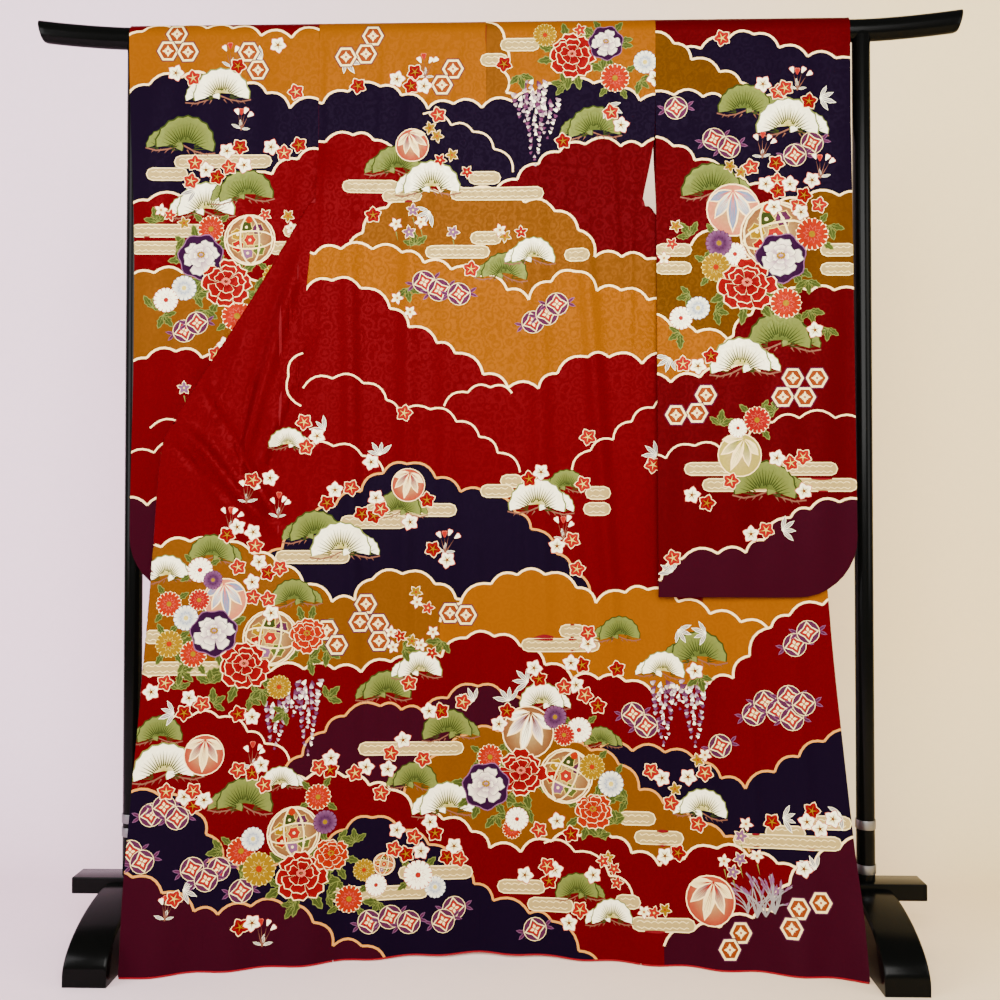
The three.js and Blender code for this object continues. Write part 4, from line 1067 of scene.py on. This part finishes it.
def shell(name, group, panels):
    """A piece of cloth from flat panels: painted outside, plain inside, closed round its edge."""
    verts, faces, normals, colours, plain = [], [], [], [], []
    inner_dye = dye("crimson")
    ground = dye(GROUNDS[group]) if group else inner_dye
    for outline, point, shapes, outward, *extra in panels:
        outline = turned_left(outline)
        loose = spread_points(outline) + [Vector(p) for rows in extra for p in rows]
        flat, kept, here = flat_panel(outline, shapes, loose)
        used = sorted({i for tri, _ in kept for i in tri})
        first = len(verts)
        index = {i: first + k for k, i in enumerate(used)}
        places, facing = laid(flat, used, point, outward)
        verts += places
        rim = {}
        for tri, source in kept:
            order = list(tri) if outward > 0 else list(tri)[::-1]
            faces.append([index[i] for i in order])
            normals += [facing[index[i] - first] for i in order]
            plain.append(0)
            if source:
                shape = here[source - 1]
                for i in order:
                    t = clamp01(math.dist(flat[i], shape.centre) / shape.radius)
                    colours.append(tuple(mix(a, b, t) for a, b in zip(shape.inner, shape.outer)))
            else:
                colours += [ground] * 3
            for a, b in zip(order, order[1:] + order[:1]):
                if rim.pop((b, a), None) is None:
                    rim[(a, b)] = True
        loops = edge_loops(rim)
        under, triangles = flat_inside(flat, loops, loose, outward)
        place_of = {tuple(under[i]): i for i in range(len(under))}
        used = sorted({i for tri in triangles for i in tri})
        below = len(verts)
        inner_index = {i: below + k for k, i in enumerate(used)}
        places, inwards = laid(under, used, point, outward)
        verts += [place - away * THICK for place, away in zip(places, inwards)]
        for tri in triangles:
            order = list(tri)[::-1] if outward > 0 else list(tri)
            faces.append([inner_index[i] for i in order])
            normals += [-inwards[inner_index[i] - below] for i in order]
            plain.append(1)
            colours += [inner_dye] * 3
        match = {i: inner_index[place_of[tuple(flat[i])]] for loop in loops for i in loop}
        for a, b in rim:
            faces.append([index[b], index[a], match[a], match[b]])
            away = facing[index[a] - first]
            side = (verts[index[a]] - verts[index[b]]).cross(away)
            normals += [side.normalized() if side.length else away] * 4
            plain.append(1)
            colours += [inner_dye] * 4
    mesh = smooth_mesh(name, [v * MM for v in verts], faces, SILK, LINING)
    mesh.polygons.foreach_set("material_index", plain)
    paint_layer = mesh.color_attributes.new("dye", "BYTE_COLOR", "CORNER")
    paint_layer.data.foreach_set("color_srgb", [c for rgb in colours for c in (*rgb, 1.0)])
    mesh.normals_split_custom_set(normals)
    return linked(name, mesh)


def mirrored(group):
    """The clouds of a group again on the far side of the bar."""
    return [shape._replace(points=[(x, FAR_TOP - z) for x, z in shape.points],
                           centre=(shape.centre[0], FAR_TOP - shape.centre[1]),
                           box=(*shape.box[:2], FAR_TOP - shape.box[3], FAR_TOP - shape.box[2]))
            for shape in ART[group] if shape.is_cloud]


def edge_top(half):
    return half["edge"][0][0] - SHORT


def body_length(half):
    """Outline of one length: back, fold over the bar and the far layer that is seen from behind."""
    s = half["side"]
    inner, top = CENTRE + s * SEAM, edge_top(half)
    bottom = half["turn_end"] + 14

    def seam(z):
        return at(half["seam"], z) - s * SEAM

    def outer(z):
        return at(half["armhole"], z) - s * SEAM if z > top else at(half["edge"], z)

    hem = [(x, hem_z(x)) for x in steps(24, inner, seam(0))]
    near = [(seam(z), z) for z in heights(hem_z(seam(0)), TOP)[1:]]
    over = [(seam(TOP), v) for v in steps(8, TOP, TOP + FOLD_LENGTH)[1:]]
    far = [(outer(z), FAR_TOP - z) for z in heights(TOP, bottom, 9)[1:]]
    hidden = [(at(half["hidden_panel"], z) + s * SEAM, FAR_TOP - z) for z in heights(bottom, NECK_LOW)]
    neck = [(inner + s * out, FAR_TOP - z) for out, z in reversed(NECKLINE[:-1])]
    back = [(inner, v) for v in heights(FAR_TOP - NECK_TOP, hem_z(inner))[1:-1]]
    return hem + near + over + far + hidden + neck + back


def bound(half, z):
    """The seam between the spread front and its overlap."""
    return at(half["edge"], z) - half["side"] * at(half["overlap"], z)


def spread_front(half):
    """Outline of the front that is spread sideways, with the cloth of its rolled edge."""
    s, top, turn = half["side"], edge_top(half), half["turn_end"] + SHORT

    def seam(z):
        return at(half["seam"], z) + s * SEAM

    hem = [(x, hem_z(x)) for x in steps(24, seam(0), bound(half, 0) - s * SEAM)]
    low = [(bound(half, z) - s * SEAM, z) for z in heights(hem_z(hem[-1][0]), turn)[1:]]
    rolled = [(at(half["edge"], z) + s * ROLL, z) for z in heights(turn, top)]
    back = [(seam(z), z) for z in heights(top, hem_z(seam(0)))[:-1]]
    return hem + low + rolled + back


def roll_rows(half, top, bottom):
    """Points across the rolled edge, close enough together to keep it round."""
    return [(at(half["edge"], z) + half["side"] * out, z) for z in heights(top, bottom, 7)[1:-1]
            for out in (-4.0, -1.2, 0.0, ROLL * 0.2, ROLL * 0.4, ROLL * 0.6, ROLL * 0.8)]


def overlap_shown(half):
    """Outline of the overlap panel's part on the spread front."""
    s, top, turn = half["side"], half["turn_end"] - 8, half["overlap_end"]
    start = bound(half, 0) + s * SEAM
    hem = [(x, hem_z(x)) for x in steps(12, start, at(half["edge"], 0))]
    low = [(at(half["edge"], z), z) for z in heights(hem_z(hem[-1][0]), turn)[1:]]
    rolled = [(at(half["edge"], z) + s * ROLL, z) for z in heights(turn + 0.5, top)]
    back = [(bound(half, z) + s * SEAM, z) for z in heights(top, hem_z(start))[:-1]]
    return hem + low + rolled + back


def overlap_hidden(half):
    """Outline of the overlap panel's part behind the body."""
    s = half["side"]
    rows = heights(SLIT_TOP, half["overlap_end"])
    outer = [(at(half["edge"], z) if z < half["turn_end"] - 4 else at(half["hidden_panel"], z) - s * SEAM, z)
             for z in rows]
    inner = [(at(half["hidden_overlap"], z) + (s * SEAM if z > half["collar_end"] else 0), z) for z in rows]
    return outer + inner[::-1]


def sleeve_outline(half):
    s = half["side"]
    armhole = at(half["seam"], TOP) + s * SEAM
    bottom = SLEEVE_LOW

    def outer(z, is_far):
        waist = 13 * smooth(1640, 1200, z) - 6 * smooth(1100, 700, z) if s < 0 else 0
        width = BESIDE_POST if is_far and s < 0 and z > BEHIND_POST else SLEEVE_WIDTH - waist
        low = max(0.0, bottom + SLEEVE_CORNER - z)
        return armhole + s * (width - SLEEVE_CORNER + math.sqrt(max(0.0, SLEEVE_CORNER ** 2 - low ** 2)))

    corner = [bottom + SLEEVE_CORNER * (1 - math.cos(a)) for a in steps(9, 0, math.pi / 2)]
    rise = corner + heights(bottom + SLEEVE_CORNER, TOP)[1:]
    fall = heights(TOP, bottom + SLEEVE_CORNER, 9)[1:] + corner[::-1][1:]
    near = [(outer(z, False), z) for z in rise]
    over = [(outer(TOP, v > TOP + FOLD_LENGTH / 2), v) for v in steps(8, TOP, TOP + FOLD_LENGTH)[1:]]
    far = [(outer(z, True), FAR_TOP - z) for z in fall]
    low_far = [(x, FAR_TOP - bottom) for x in steps(20, far[-1][0], armhole)[1:]]
    back = [(armhole, v) for v in heights(FAR_TOP - bottom, bottom)[1:]]
    low_near = [(x, bottom) for x in steps(20, armhole, near[0][0])[1:-1]]
    return near + over + far + low_far + back + low_near


STATION_PITCH = 14.0


def collar_band():
    """Stations along the neck edge: place, direction across the band and the half it hangs from."""
    stations = []
    for half in (LEFT, RIGHT):
        s, rows = half["side"], []
        for z in heights(half["collar_end"] + 2, NECK_LOW, STATION_PITCH):
            slope = (at(half["hidden_overlap"], z + 12) - at(half["hidden_overlap"], z - 12)) / 24
            length = math.hypot(slope, 1)
            rows.append((at(half["hidden_overlap"], z), z, -s / length, s * slope / length, half))
        neck = [(CENTRE + s * out, z) for out, z in reversed(NECKLINE)]
        for i, (x, z) in enumerate(neck[1:], 1):
            angle = math.pi / 2 * i / (len(neck) - 1)
            rows.append((x, z, -s * math.cos(angle), -math.sin(angle), half))
        stations += rows if half is LEFT else rows[::-1][1:]
    return stations


STATIONS = collar_band()


def collar_point(s, w):
    i = min(len(STATIONS) - 2, max(0, int(s / STATION_PITCH)))
    t = s / STATION_PITCH - i
    a, b = STATIONS[i], STATIONS[i + 1]
    across = Vector((mix(a[2], b[2], t), mix(a[3], b[3], t)))
    across.normalize()
    x, z = mix(a[0], b[0], t) + across.x * w, mix(a[1], b[1], t) + across.y * w
    return Vector((x, far_y(a[4], x, z), z))


# ---- Materials ------------------------------------------------------------------------------
def node(tree, kind, place, inputs=None, **settings):
    """A node with its settings; each of its inputs is linked to a socket or given a value."""
    made = tree.nodes.new(kind)
    made.location = place
    for key, value in settings.items():
        setattr(made, key, value)
    feed(tree, made, inputs or {})
    return made


def feed(tree, made, inputs):
    for key, value in inputs.items():
        if isinstance(value, bpy.types.NodeSocket):
            tree.links.new(value, made.inputs[key])
        else:
            made.inputs[key].default_value = value


def ranged(tree, place, value, low, high):
    """A value from 0 to 1 carried over to another range."""
    return node(tree, "ShaderNodeMapRange", place, {"Value": value, "To Min": low, "To Max": high}).outputs[0]


def new_material(name):
    material = bpy.data.materials.new(name)
    material.use_nodes = True
    tree = material.node_tree
    return material, tree, tree.nodes["Principled BSDF"]


def silk_material():
    """Figured satin: dyed colour, with a woven figure that shows in the sheen."""
    material, tree, shader = new_material("figured silk")
    colour = node(tree, "ShaderNodeAttribute", (-700, 300), attribute_name="dye").outputs["Color"]
    place = node(tree, "ShaderNodeTexCoord", (-1500, -100)).outputs["Object"]
    figure = node(tree, "ShaderNodeTexVoronoi", (-1250, 0),
                  {"Vector": place, "Scale": 52.0, "Randomness": 0.8})
    petals = node(tree, "ShaderNodeTexNoise", (-1250, -260),
                  {"Vector": place, "Scale": 120.0, "Detail": 2.0, "Distortion": 1.4})
    rings = node(tree, "ShaderNodeMath", (-1030, 0), {0: figure.outputs["Distance"], 1: 19.0},
                 operation="MULTIPLY")
    curls = node(tree, "ShaderNodeMath", (-860, -60), {0: petals.outputs["Fac"], 1: 7.0, 2: rings.outputs[0]},
                 operation="MULTIPLY_ADD")
    wave = node(tree, "ShaderNodeMath", (-700, -60), {0: curls.outputs[0]}, operation="SINE")
    mask = node(tree, "ShaderNodeMapRange", (-540, -60),
                {"Value": wave.outputs[0], "From Min": -0.25, "From Max": 0.45},
                interpolation_type="SMOOTHSTEP").outputs[0]
    tone = ranged(tree, (-360, 120), mask, 0.97, 1.03)
    shade = node(tree, "ShaderNodeMix", (-180, 300), data_type="RGBA", blend_type="MULTIPLY")
    feed(tree, shade, {"Factor": 1.0, 6: colour, 7: tone})
    weave = node(tree, "ShaderNodeTexNoise", (-540, -360), {"Vector": place, "Scale": 900.0, "Detail": 2.0})
    bump = node(tree, "ShaderNodeBump", (-180, -360),
                {"Strength": 0.12, "Distance": 0.0004, "Height": weave.outputs["Fac"]})
    feed(tree, shader, {"Base Color": shade.outputs[2], "Normal": bump.outputs[0],
                        "Roughness": ranged(tree, (-180, -60), mask, 0.52, 0.36),
                        "Specular IOR Level": 0.01, "Metallic": 0.16})
    return material


def worked_material(name, colour, rough, specular, scale, bump_depth, metallic=0.0, stretch=(1, 1, 1),
                    shift=0.06):
    """A surface whose colour, gloss and height vary a little on the scale of its own grain."""
    material, tree, shader = new_material(name)
    place = node(tree, "ShaderNodeTexCoord", (-1100, 0)).outputs["Object"]
    mapping = node(tree, "ShaderNodeMapping", (-930, 0), {"Scale": stretch, "Vector": place})
    grain = node(tree, "ShaderNodeTexNoise", (-740, 0),
                 {"Scale": scale, "Detail": 4.0, "Vector": mapping.outputs[0]}).outputs["Fac"]
    tint = node(tree, "ShaderNodeMix", (-300, 200), data_type="RGBA")
    feed(tree, tint, {6: (*(c * 0.85 for c in colour), 1), 7: (*(c * 1.15 for c in colour), 1),
                      "Factor": grain})
    bump = node(tree, "ShaderNodeBump", (-300, -300),
                {"Strength": 0.5, "Distance": bump_depth, "Height": grain})
    feed(tree, shader, {"Roughness": ranged(tree, (-500, -120), grain, rough - shift, rough + shift),
                        "Base Color": tint.outputs[2], "Normal": bump.outputs[0],
                        "Metallic": metallic, "Specular IOR Level": specular})
    return material


SILK = silk_material()
LINING = worked_material("crimson lining", (0.12, 0.001, 0.004), 0.6, 0.06, 700.0, 0.0002)
CREPE = worked_material("crimson crepe", (0.2, 0.002, 0.006), 0.7, 0.08, 500.0, 0.0004)
LACQUER = worked_material("black lacquer", (0.0014, 0.0015, 0.0013), 0.2, 0.06, 9.0, 0.00005,
                          stretch=(0.4, 1, 0.4), shift=0.04)
METAL = worked_material("grey metal", (0.2, 0.2, 0.205), 0.4, 0.5, 160.0, 0.00004,
                        metallic=1.0, stretch=(1, 1, 8))

# ---- Cloth --------------------------------------------------------------------------------------
PIECES = {}
for half in (LEFT, RIGHT):
    word = "left" if half["side"] < 0 else "right"

    def far_depth(x, z, half=half):
        return far_y(half, x, z)

    def far_sheet(x, z, half=half):
        return Vector((x, far_y(half, x, z), z))

    PIECES["body_" + word] = shell("cloth_body_" + word, "body", (
        (body_length(half), length_point(front_y, far_depth), ART["body"] + mirrored("body"), 1),
        (spread_front(half), rolled_point(half), ART["body"], 1,
         roll_rows(half, edge_top(half), half["turn_end"] + SHORT))))
    PIECES["okumi_" + word] = shell("cloth_overlap_" + word, "body", (
        (overlap_shown(half), rolled_point(half), ART["body"], 1,
         roll_rows(half, half["turn_end"] - 8, half["overlap_end"])),
        (overlap_hidden(half), far_sheet, [s for s in ART["body"] if s.is_cloud], -1)))
    group = "sleeve_" + word
    PIECES[group] = shell("cloth_sleeve_" + word, group, (
        (sleeve_outline(half), length_point(*SLEEVES[half["side"]]), ART[group] + mirrored(group), 1),))
band_length = STATION_PITCH * (len(STATIONS) - 1)
band_outline = ([(s, SEAM) for s in steps(90, 0, band_length)]
                + [(s, COLLAR_WIDTH) for s in steps(90, band_length, 0)])
PIECES["collar"] = shell("cloth_collar", None, ((band_outline, collar_point, [], 1),))


def hand_over(piece, solid):
    """Says which body a piece rides on and hides the solid that it stands for."""
    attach(piece, "root")
    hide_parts(solid)


for name, piece in PIECES.items():
    hand_over(piece, name)

# ---- Hems: the lining rolled out below each bottom edge --------------------------------------------
def hem_roll(name, x0, x1):
    """A soft roll of even thickness that follows the waves of the hem."""
    rings, sides = max(8, round((x1 - x0) / 6)), 10
    verts, faces = [], []
    for x in steps(rings, x0, x1):
        top = hem_z(x) - 0.3
        full = 1.0 + 0.08 * math.sin(x / 9.0) + 0.05 * math.sin(x / 3.7)
        y = front_y(x, top) + 0.75
        for k in range(sides):
            a = 2 * math.pi * k / sides
            verts.append(Vector((x, y + 1.2 * full * math.cos(a), top - 1.5 + 1.5 * math.sin(a))) * MM)
    for i in range(rings):
        for k in range(sides):
            n = (k + 1) % sides
            faces.append((i * sides + k, (i + 1) * sides + k, (i + 1) * sides + n, i * sides + n))
    faces += [tuple(range(sides)), tuple(range(rings * sides, (rings + 1) * sides))[::-1]]
    mesh = smooth_mesh(name, verts, faces, CREPE)
    shape = bmesh.new()
    shape.from_mesh(mesh)
    bmesh.ops.recalc_face_normals(shape, faces=shape.faces)
    shape.to_mesh(mesh)
    shape.free()
    return linked(name, mesh)


HEMS = (("front_left", -612, -275), ("back_left", -273, -15.2), ("back_right", -14.8, 247),
        ("front_right", 249, 610))  # name, left end and right end
HEM_ROLLS = {"left": [], "right": []}
for place, x0, x1 in HEMS:
    roll = hem_roll("rolled_hem_" + place, x0, x1)
    hand_over(roll, "hem_lining_" + place)
    HEM_ROLLS[place.split("_")[1]].append(roll)

# ---- Stand: turned and planed wood under black lacquer, with metal rings on the posts ---------------
# Half lengths, half depth and half height of the bar, where it starts to turn up and how far.
BAR = dict(half=835, depth=15, height=20, bend=640, rise=16, turn_up_steps=12, end_slant=12)
POST = dict(x=655, radius=16, top=1630, dome=12)
RAIL = dict(half=754, depth=48, height=29, z=88)
FOOT = dict(x=657, width=72, half=195, end=26, height=108)
RING = dict(wall=1.2, height=16)
RINGS = (("ring_left_upper", -1, 210), ("ring_left_lower", -1, 186),
         ("ring_right_upper", 1, 208), ("ring_right_lower", 1, 130))  # name, side and lower edge
SEAT = 0.3  # clearance of a joint


def begin(add, name, **start):
    """Adds a primitive and opens it for shaping with nothing selected."""
    if bpy.context.object and bpy.context.object.mode != "OBJECT":
        bpy.ops.object.mode_set(mode="OBJECT")
    bpy.ops.object.select_all(action="DESELECT")
    add(**start)
    piece = bpy.context.object
    piece.name = piece.data.name = name
    bpy.ops.object.transform_apply(location=True, rotation=True, scale=True)
    bpy.ops.object.mode_set(mode="EDIT")
    bpy.ops.mesh.select_all(action="DESELECT")
    return piece


def pick(piece, kind, wanted):
    """Selects the edges by their ends, or the faces by their centre and the way they face."""
    bpy.ops.mesh.select_mode(type=kind)
    bpy.ops.mesh.select_all(action="DESELECT")
    shape = bmesh.from_edit_mesh(piece.data)
    if kind == "FACE":
        for face in shape.faces:
            face.select_set(wanted(face.calc_center_median() / MM, face.normal))
    else:
        for edge in shape.edges:
            edge.select_set(wanted(edge.verts[0].co / MM, edge.verts[1].co / MM))
    bmesh.update_edit_mesh(piece.data)


def bevel(offset, segments):
    bpy.ops.mesh.bevel(offset=offset * MM, segments=segments, affect="EDGES")


def resize(value, centre):
    bpy.ops.transform.resize(value=value, center_override=centre)


def extrude(x, y, z):
    bpy.ops.mesh.extrude_region_move(TRANSFORM_OT_translate={"value": (x * MM, y * MM, z * MM)})


def finished(piece, material):
    bpy.ops.mesh.select_all(action="SELECT")
    bpy.ops.mesh.normals_make_consistent(inside=False)
    bpy.ops.object.mode_set(mode="OBJECT")
    bpy.ops.object.shade_smooth_by_angle(angle=math.radians(32))
    piece.data.materials.clear()
    piece.data.materials.append(material)
    return piece


def cut_with(piece, cutter):
    """Lets one piece into another, as a socket or a notch."""
    bpy.ops.object.mode_set(mode="OBJECT")
    cut = piece.modifiers.new("socket", "BOOLEAN")
    cut.operation = "DIFFERENCE"
    cut.solver = "EXACT"
    cut.object = cutter
    bpy.ops.object.select_all(action="DESELECT")
    bpy.context.view_layer.objects.active = piece
    piece.select_set(True)
    bpy.ops.object.modifier_apply(modifier=cut.name)
    bpy.data.objects.remove(cutter)


def make_post(name, x, clearance=0.0):
    """A round post with a domed top; with a clearance, the tool for its socket."""
    r, top = POST["radius"] + clearance, POST["top"] - POST["dome"]
    low = RAIL["z"] + RAIL["height"] + SEAT - clearance
    piece = begin(bpy.ops.mesh.primitive_cylinder_add, name, vertices=48, radius=r * MM,
                  depth=(top - low) * MM, location=(x * MM, 0, (top + low) / 2 * MM))
    pick(piece, "FACE", lambda c, n: n.z > 0.9)
    dome, before = POST["dome"] + clearance, 0.0
    for a in steps(6, 0, math.radians(84))[1:]:
        rise = dome * math.sin(a)
        extrude(0, 0, rise - before)
        shrink = math.cos(a) / math.cos(a - math.radians(14))
        resize((shrink, shrink, 1), (x * MM, 0, (top + rise) * MM))
        before = rise
    return piece


def make_bar():
    """The oval bar, turned up towards its slanted ends, with sockets for the posts."""
    piece = begin(bpy.ops.mesh.primitive_cylinder_add, "lacquered_bar", vertices=40,
                  radius=BAR["height"] * MM, depth=2 * BAR["bend"] * MM, location=(0, 0, TOP * MM),
                  rotation=(0, math.pi / 2, 0))
    bpy.ops.mesh.select_all(action="SELECT")
    resize((1, BAR["depth"] / BAR["height"], 1), (0, 0, TOP * MM))
    for side in (-1, 1):
        pick(piece, "FACE", lambda c, n: n.x * side > 0.9)
        x, lift, span = BAR["bend"], 0.0, BAR["half"] - BAR["bend"]
        for k in range(1, BAR["turn_up_steps"] + 1):
            next_x = BAR["bend"] + span * k / BAR["turn_up_steps"]
            next_lift = BAR["rise"] * ((next_x - BAR["bend"]) / span) ** 1.6
            extrude(side * (next_x - x), 0, next_lift - lift)
            x, lift = next_x, next_lift
        foot = (side * BAR["half"] * MM, 0, (TOP + lift + BAR["height"]) * MM)
        bpy.ops.transform.rotate(value=side * math.radians(-BAR["end_slant"]), orient_axis="Y",
                                 center_override=foot)
        pick(piece, "EDGE", lambda a, b: min(a.x * side, b.x * side) > BAR["half"] - 14)
        bevel(2.0, 3)
    piece = finished(piece, LACQUER)
    for side in (-1, 1):
        cut_with(piece, make_post("socket_tool", side * POST["x"], SEAT))
    return piece


def make_rail(name, clearance=0.0):
    """The rail; with a clearance, the tool for its notches, which runs past the feet."""
    size = (2 * (RAIL["half"] + 9 * clearance), RAIL["depth"] + 2 * clearance, RAIL["height"] + 2 * clearance)
    piece = begin(bpy.ops.mesh.primitive_cube_add, name, size=1.0, scale=[side * MM for side in size],
                  location=(0, 0, (RAIL["z"] + RAIL["height"] / 2) * MM))
    if not clearance:
        bpy.ops.mesh.select_all(action="SELECT")
        bevel(2.0, 3)
    return piece


def make_foot(side):
    """An arched foot, as a row of slices from front to back, with a notch for the rail."""
    x = side * FOOT["x"]

    def top(y):
        return FOOT["end"] + (FOOT["height"] - FOOT["end"]) * max(0.0, 1 - (y / FOOT["half"]) ** 2) ** 0.575

    rows = [FOOT["half"] * math.sin(a) for a in steps(36, -math.pi / 2, math.pi / 2)]
    piece = begin(bpy.ops.mesh.primitive_cube_add, "lacquered_foot_" + ("left" if side < 0 else "right"),
                  size=1.0, location=(x * MM, (rows[0] + rows[1]) / 2 * MM, FOOT["end"] / 2 * MM),
                  scale=(FOOT["width"] * MM, (rows[1] - rows[0]) * MM, FOOT["end"] * MM))
    pick(piece, "FACE", lambda c, n: n.y > 0.9)
    resize((1, 1, top(rows[1]) / FOOT["end"]), (x * MM, rows[1] * MM, 0))
    for y0, y1 in zip(rows[1:], rows[2:]):
        extrude(0, y1 - y0, 0)
        resize((1, 1, top(y1) / top(y0)), (x * MM, y1 * MM, 0))
    pick(piece, "EDGE", lambda a, b: min(a.z, b.z) > FOOT["end"] - 1 and abs(a.x - b.x) < 1)
    bevel(5.0, 5)
    piece = finished(piece, LACQUER)
    cut_with(piece, make_rail("notch_tool", SEAT))
    return piece


def make_ring(name, side, z):
    x, inner, wall, height = side * POST["x"], POST["radius"] + SEAT, RING["wall"], RING["height"]
    piece = begin(bpy.ops.mesh.primitive_cylinder_add, name + "_band", vertices=48,
                  radius=(inner + wall) * MM, depth=height * MM, location=(x * MM, 0, (z + height / 2) * MM))
    pick(piece, "FACE", lambda c, n: abs(n.z) > 0.9)
    bpy.ops.mesh.inset(thickness=wall * MM, use_individual=True)
    bpy.ops.mesh.bridge_edge_loops()
    pick(piece, "EDGE", lambda a, b: abs(a.z - b.z) < 0.1
         and min(math.hypot(end.x - x, end.y) for end in (a, b)) > inner + wall / 2)
    bevel(0.35, 2)
    return finished(piece, METAL)


STAND = {"stand_bar": make_bar(), "stand_rail": finished(make_rail("lacquered_rail"), LACQUER)}
for side, word in ((-1, "left"), (1, "right")):
    STAND["stand_post_" + word] = finished(make_post("lacquered_post_" + word, side * POST["x"]), LACQUER)
    STAND["stand_foot_" + word] = make_foot(side)
for name, side, z in RINGS:
    STAND[name] = make_ring(name, side, z)
for name, piece in STAND.items():
    hand_over(piece, name)

# The hem rolls of each side, taken as a list; nothing more is done with them.
for word in ("left", "right"):
    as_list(HEM_ROLLS[word])

# ---- Room, light and camera -----------------------------------------------------------------------
ROOM_FRONT, ROOM_BACK, ROOM_CURVE, ROOM_TOP, ROOM_HALF = -3.5, 0.28, 0.45, 3.6, 4.0  # metres


def backdrop():
    """A paper sheet that curves up from the floor, warmer to the right, clear from behind."""
    material, tree, shader = new_material("paper backdrop")
    place = node(tree, "ShaderNodeTexCoord", (-700, 0)).outputs["Object"]
    apart = node(tree, "ShaderNodeSeparateXYZ", (-520, 0), {0: place})
    across = node(tree, "ShaderNodeMapRange", (-430, -200),
                  {"From Min": -0.9, "From Max": 1.0, "Value": apart.outputs["X"]})
    ramp = node(tree, "ShaderNodeValToRGB", (-340, 0), {0: across.outputs[0]})
    for element, colour in zip(ramp.color_ramp.elements, ((0.93, 0.70, 0.82, 1), (0.99, 0.78, 0.42, 1))):
        element.color = colour
    fibre = node(tree, "ShaderNodeTexNoise", (-340, 260), {"Scale": 60.0, "Detail": 3.0, "Vector": place})
    tint = node(tree, "ShaderNodeMix", (-120, 120), data_type="RGBA", blend_type="MULTIPLY")
    feed(tree, tint, {"Factor": 0.05, 6: ramp.outputs[0], 7: fibre.outputs["Fac"]})
    feed(tree, shader, {"Roughness": 0.95, "Base Color": tint.outputs[2]})
    # The sheet is seen from its front alone, so the object's far side isn't hidden by it.
    side = node(tree, "ShaderNodeNewGeometry", (-120, -260)).outputs["Backfacing"]
    clear = node(tree, "ShaderNodeBsdfTransparent", (60, -260))
    seen = node(tree, "ShaderNodeMixShader", (260, 0), {0: side, 1: shader.outputs[0], 2: clear.outputs[0]})
    feed(tree, tree.nodes["Material Output"], {"Surface": seen.outputs[0]})
    curve = [(ROOM_BACK + ROOM_CURVE * math.sin(a), ROOM_CURVE - ROOM_CURVE * math.cos(a))
             for a in steps(14, 0, math.pi / 2)]
    profile = [(ROOM_FRONT, 0.0)] + curve + [(ROOM_BACK + ROOM_CURVE, ROOM_TOP)]
    verts = [(x, y, z) for y, z in profile for x in (-ROOM_HALF, ROOM_HALF)]
    faces = [(2 * i, 2 * i + 1, 2 * i + 3, 2 * i + 2) for i in range(len(profile) - 1)]
    linked("backdrop", smooth_mesh("backdrop", verts, faces, material))


def lamp(name, place, aim, size, watts, colour):
    data = bpy.data.lights.new(name, "AREA")
    data.shape = "RECTANGLE"
    data.size, data.size_y = size
    data.energy = watts
    data.color = colour
    made = linked(name, data)
    made.location = place
    made.rotation_euler = (Vector(aim) - Vector(place)).to_track_quat("-Z", "Y").to_euler()


backdrop()
lamp("ceiling light", (0.1, -3.3, 2.15), (0, 0, 0.7), (3.0, 1.8), 300, (1.0, 0.985, 0.96))
lamp("left light", (-3.0, -2.2, 1.8), (0, 0, 0.8), (1.8, 2.2), 135, (0.99, 0.97, 1.0))
lamp("right light", (3.0, -1.8, 1.6), (0, 0, 0.8), (1.6, 2.0), 62, (1.0, 0.97, 0.93))
world = bpy.data.worlds.new("room")
world.use_nodes = True
feed(world.node_tree, world.node_tree.nodes["Background"], {"Color": (0.95, 0.95, 1.0, 1), "Strength": 0.2})
bpy.context.scene.world = world

SENSOR = 36.0
camera_data = bpy.data.cameras.new("camera")
camera_data.sensor_width = SENSOR
camera_data.lens = SENSOR * FOCUS_PX / FRAME_PX
camera = linked("camera", camera_data)
camera.location = Vector(EYE) * MM
camera.rotation_euler = (math.pi / 2 + RAISED, 0, TURNED)
bpy.context.scene.camera = camera
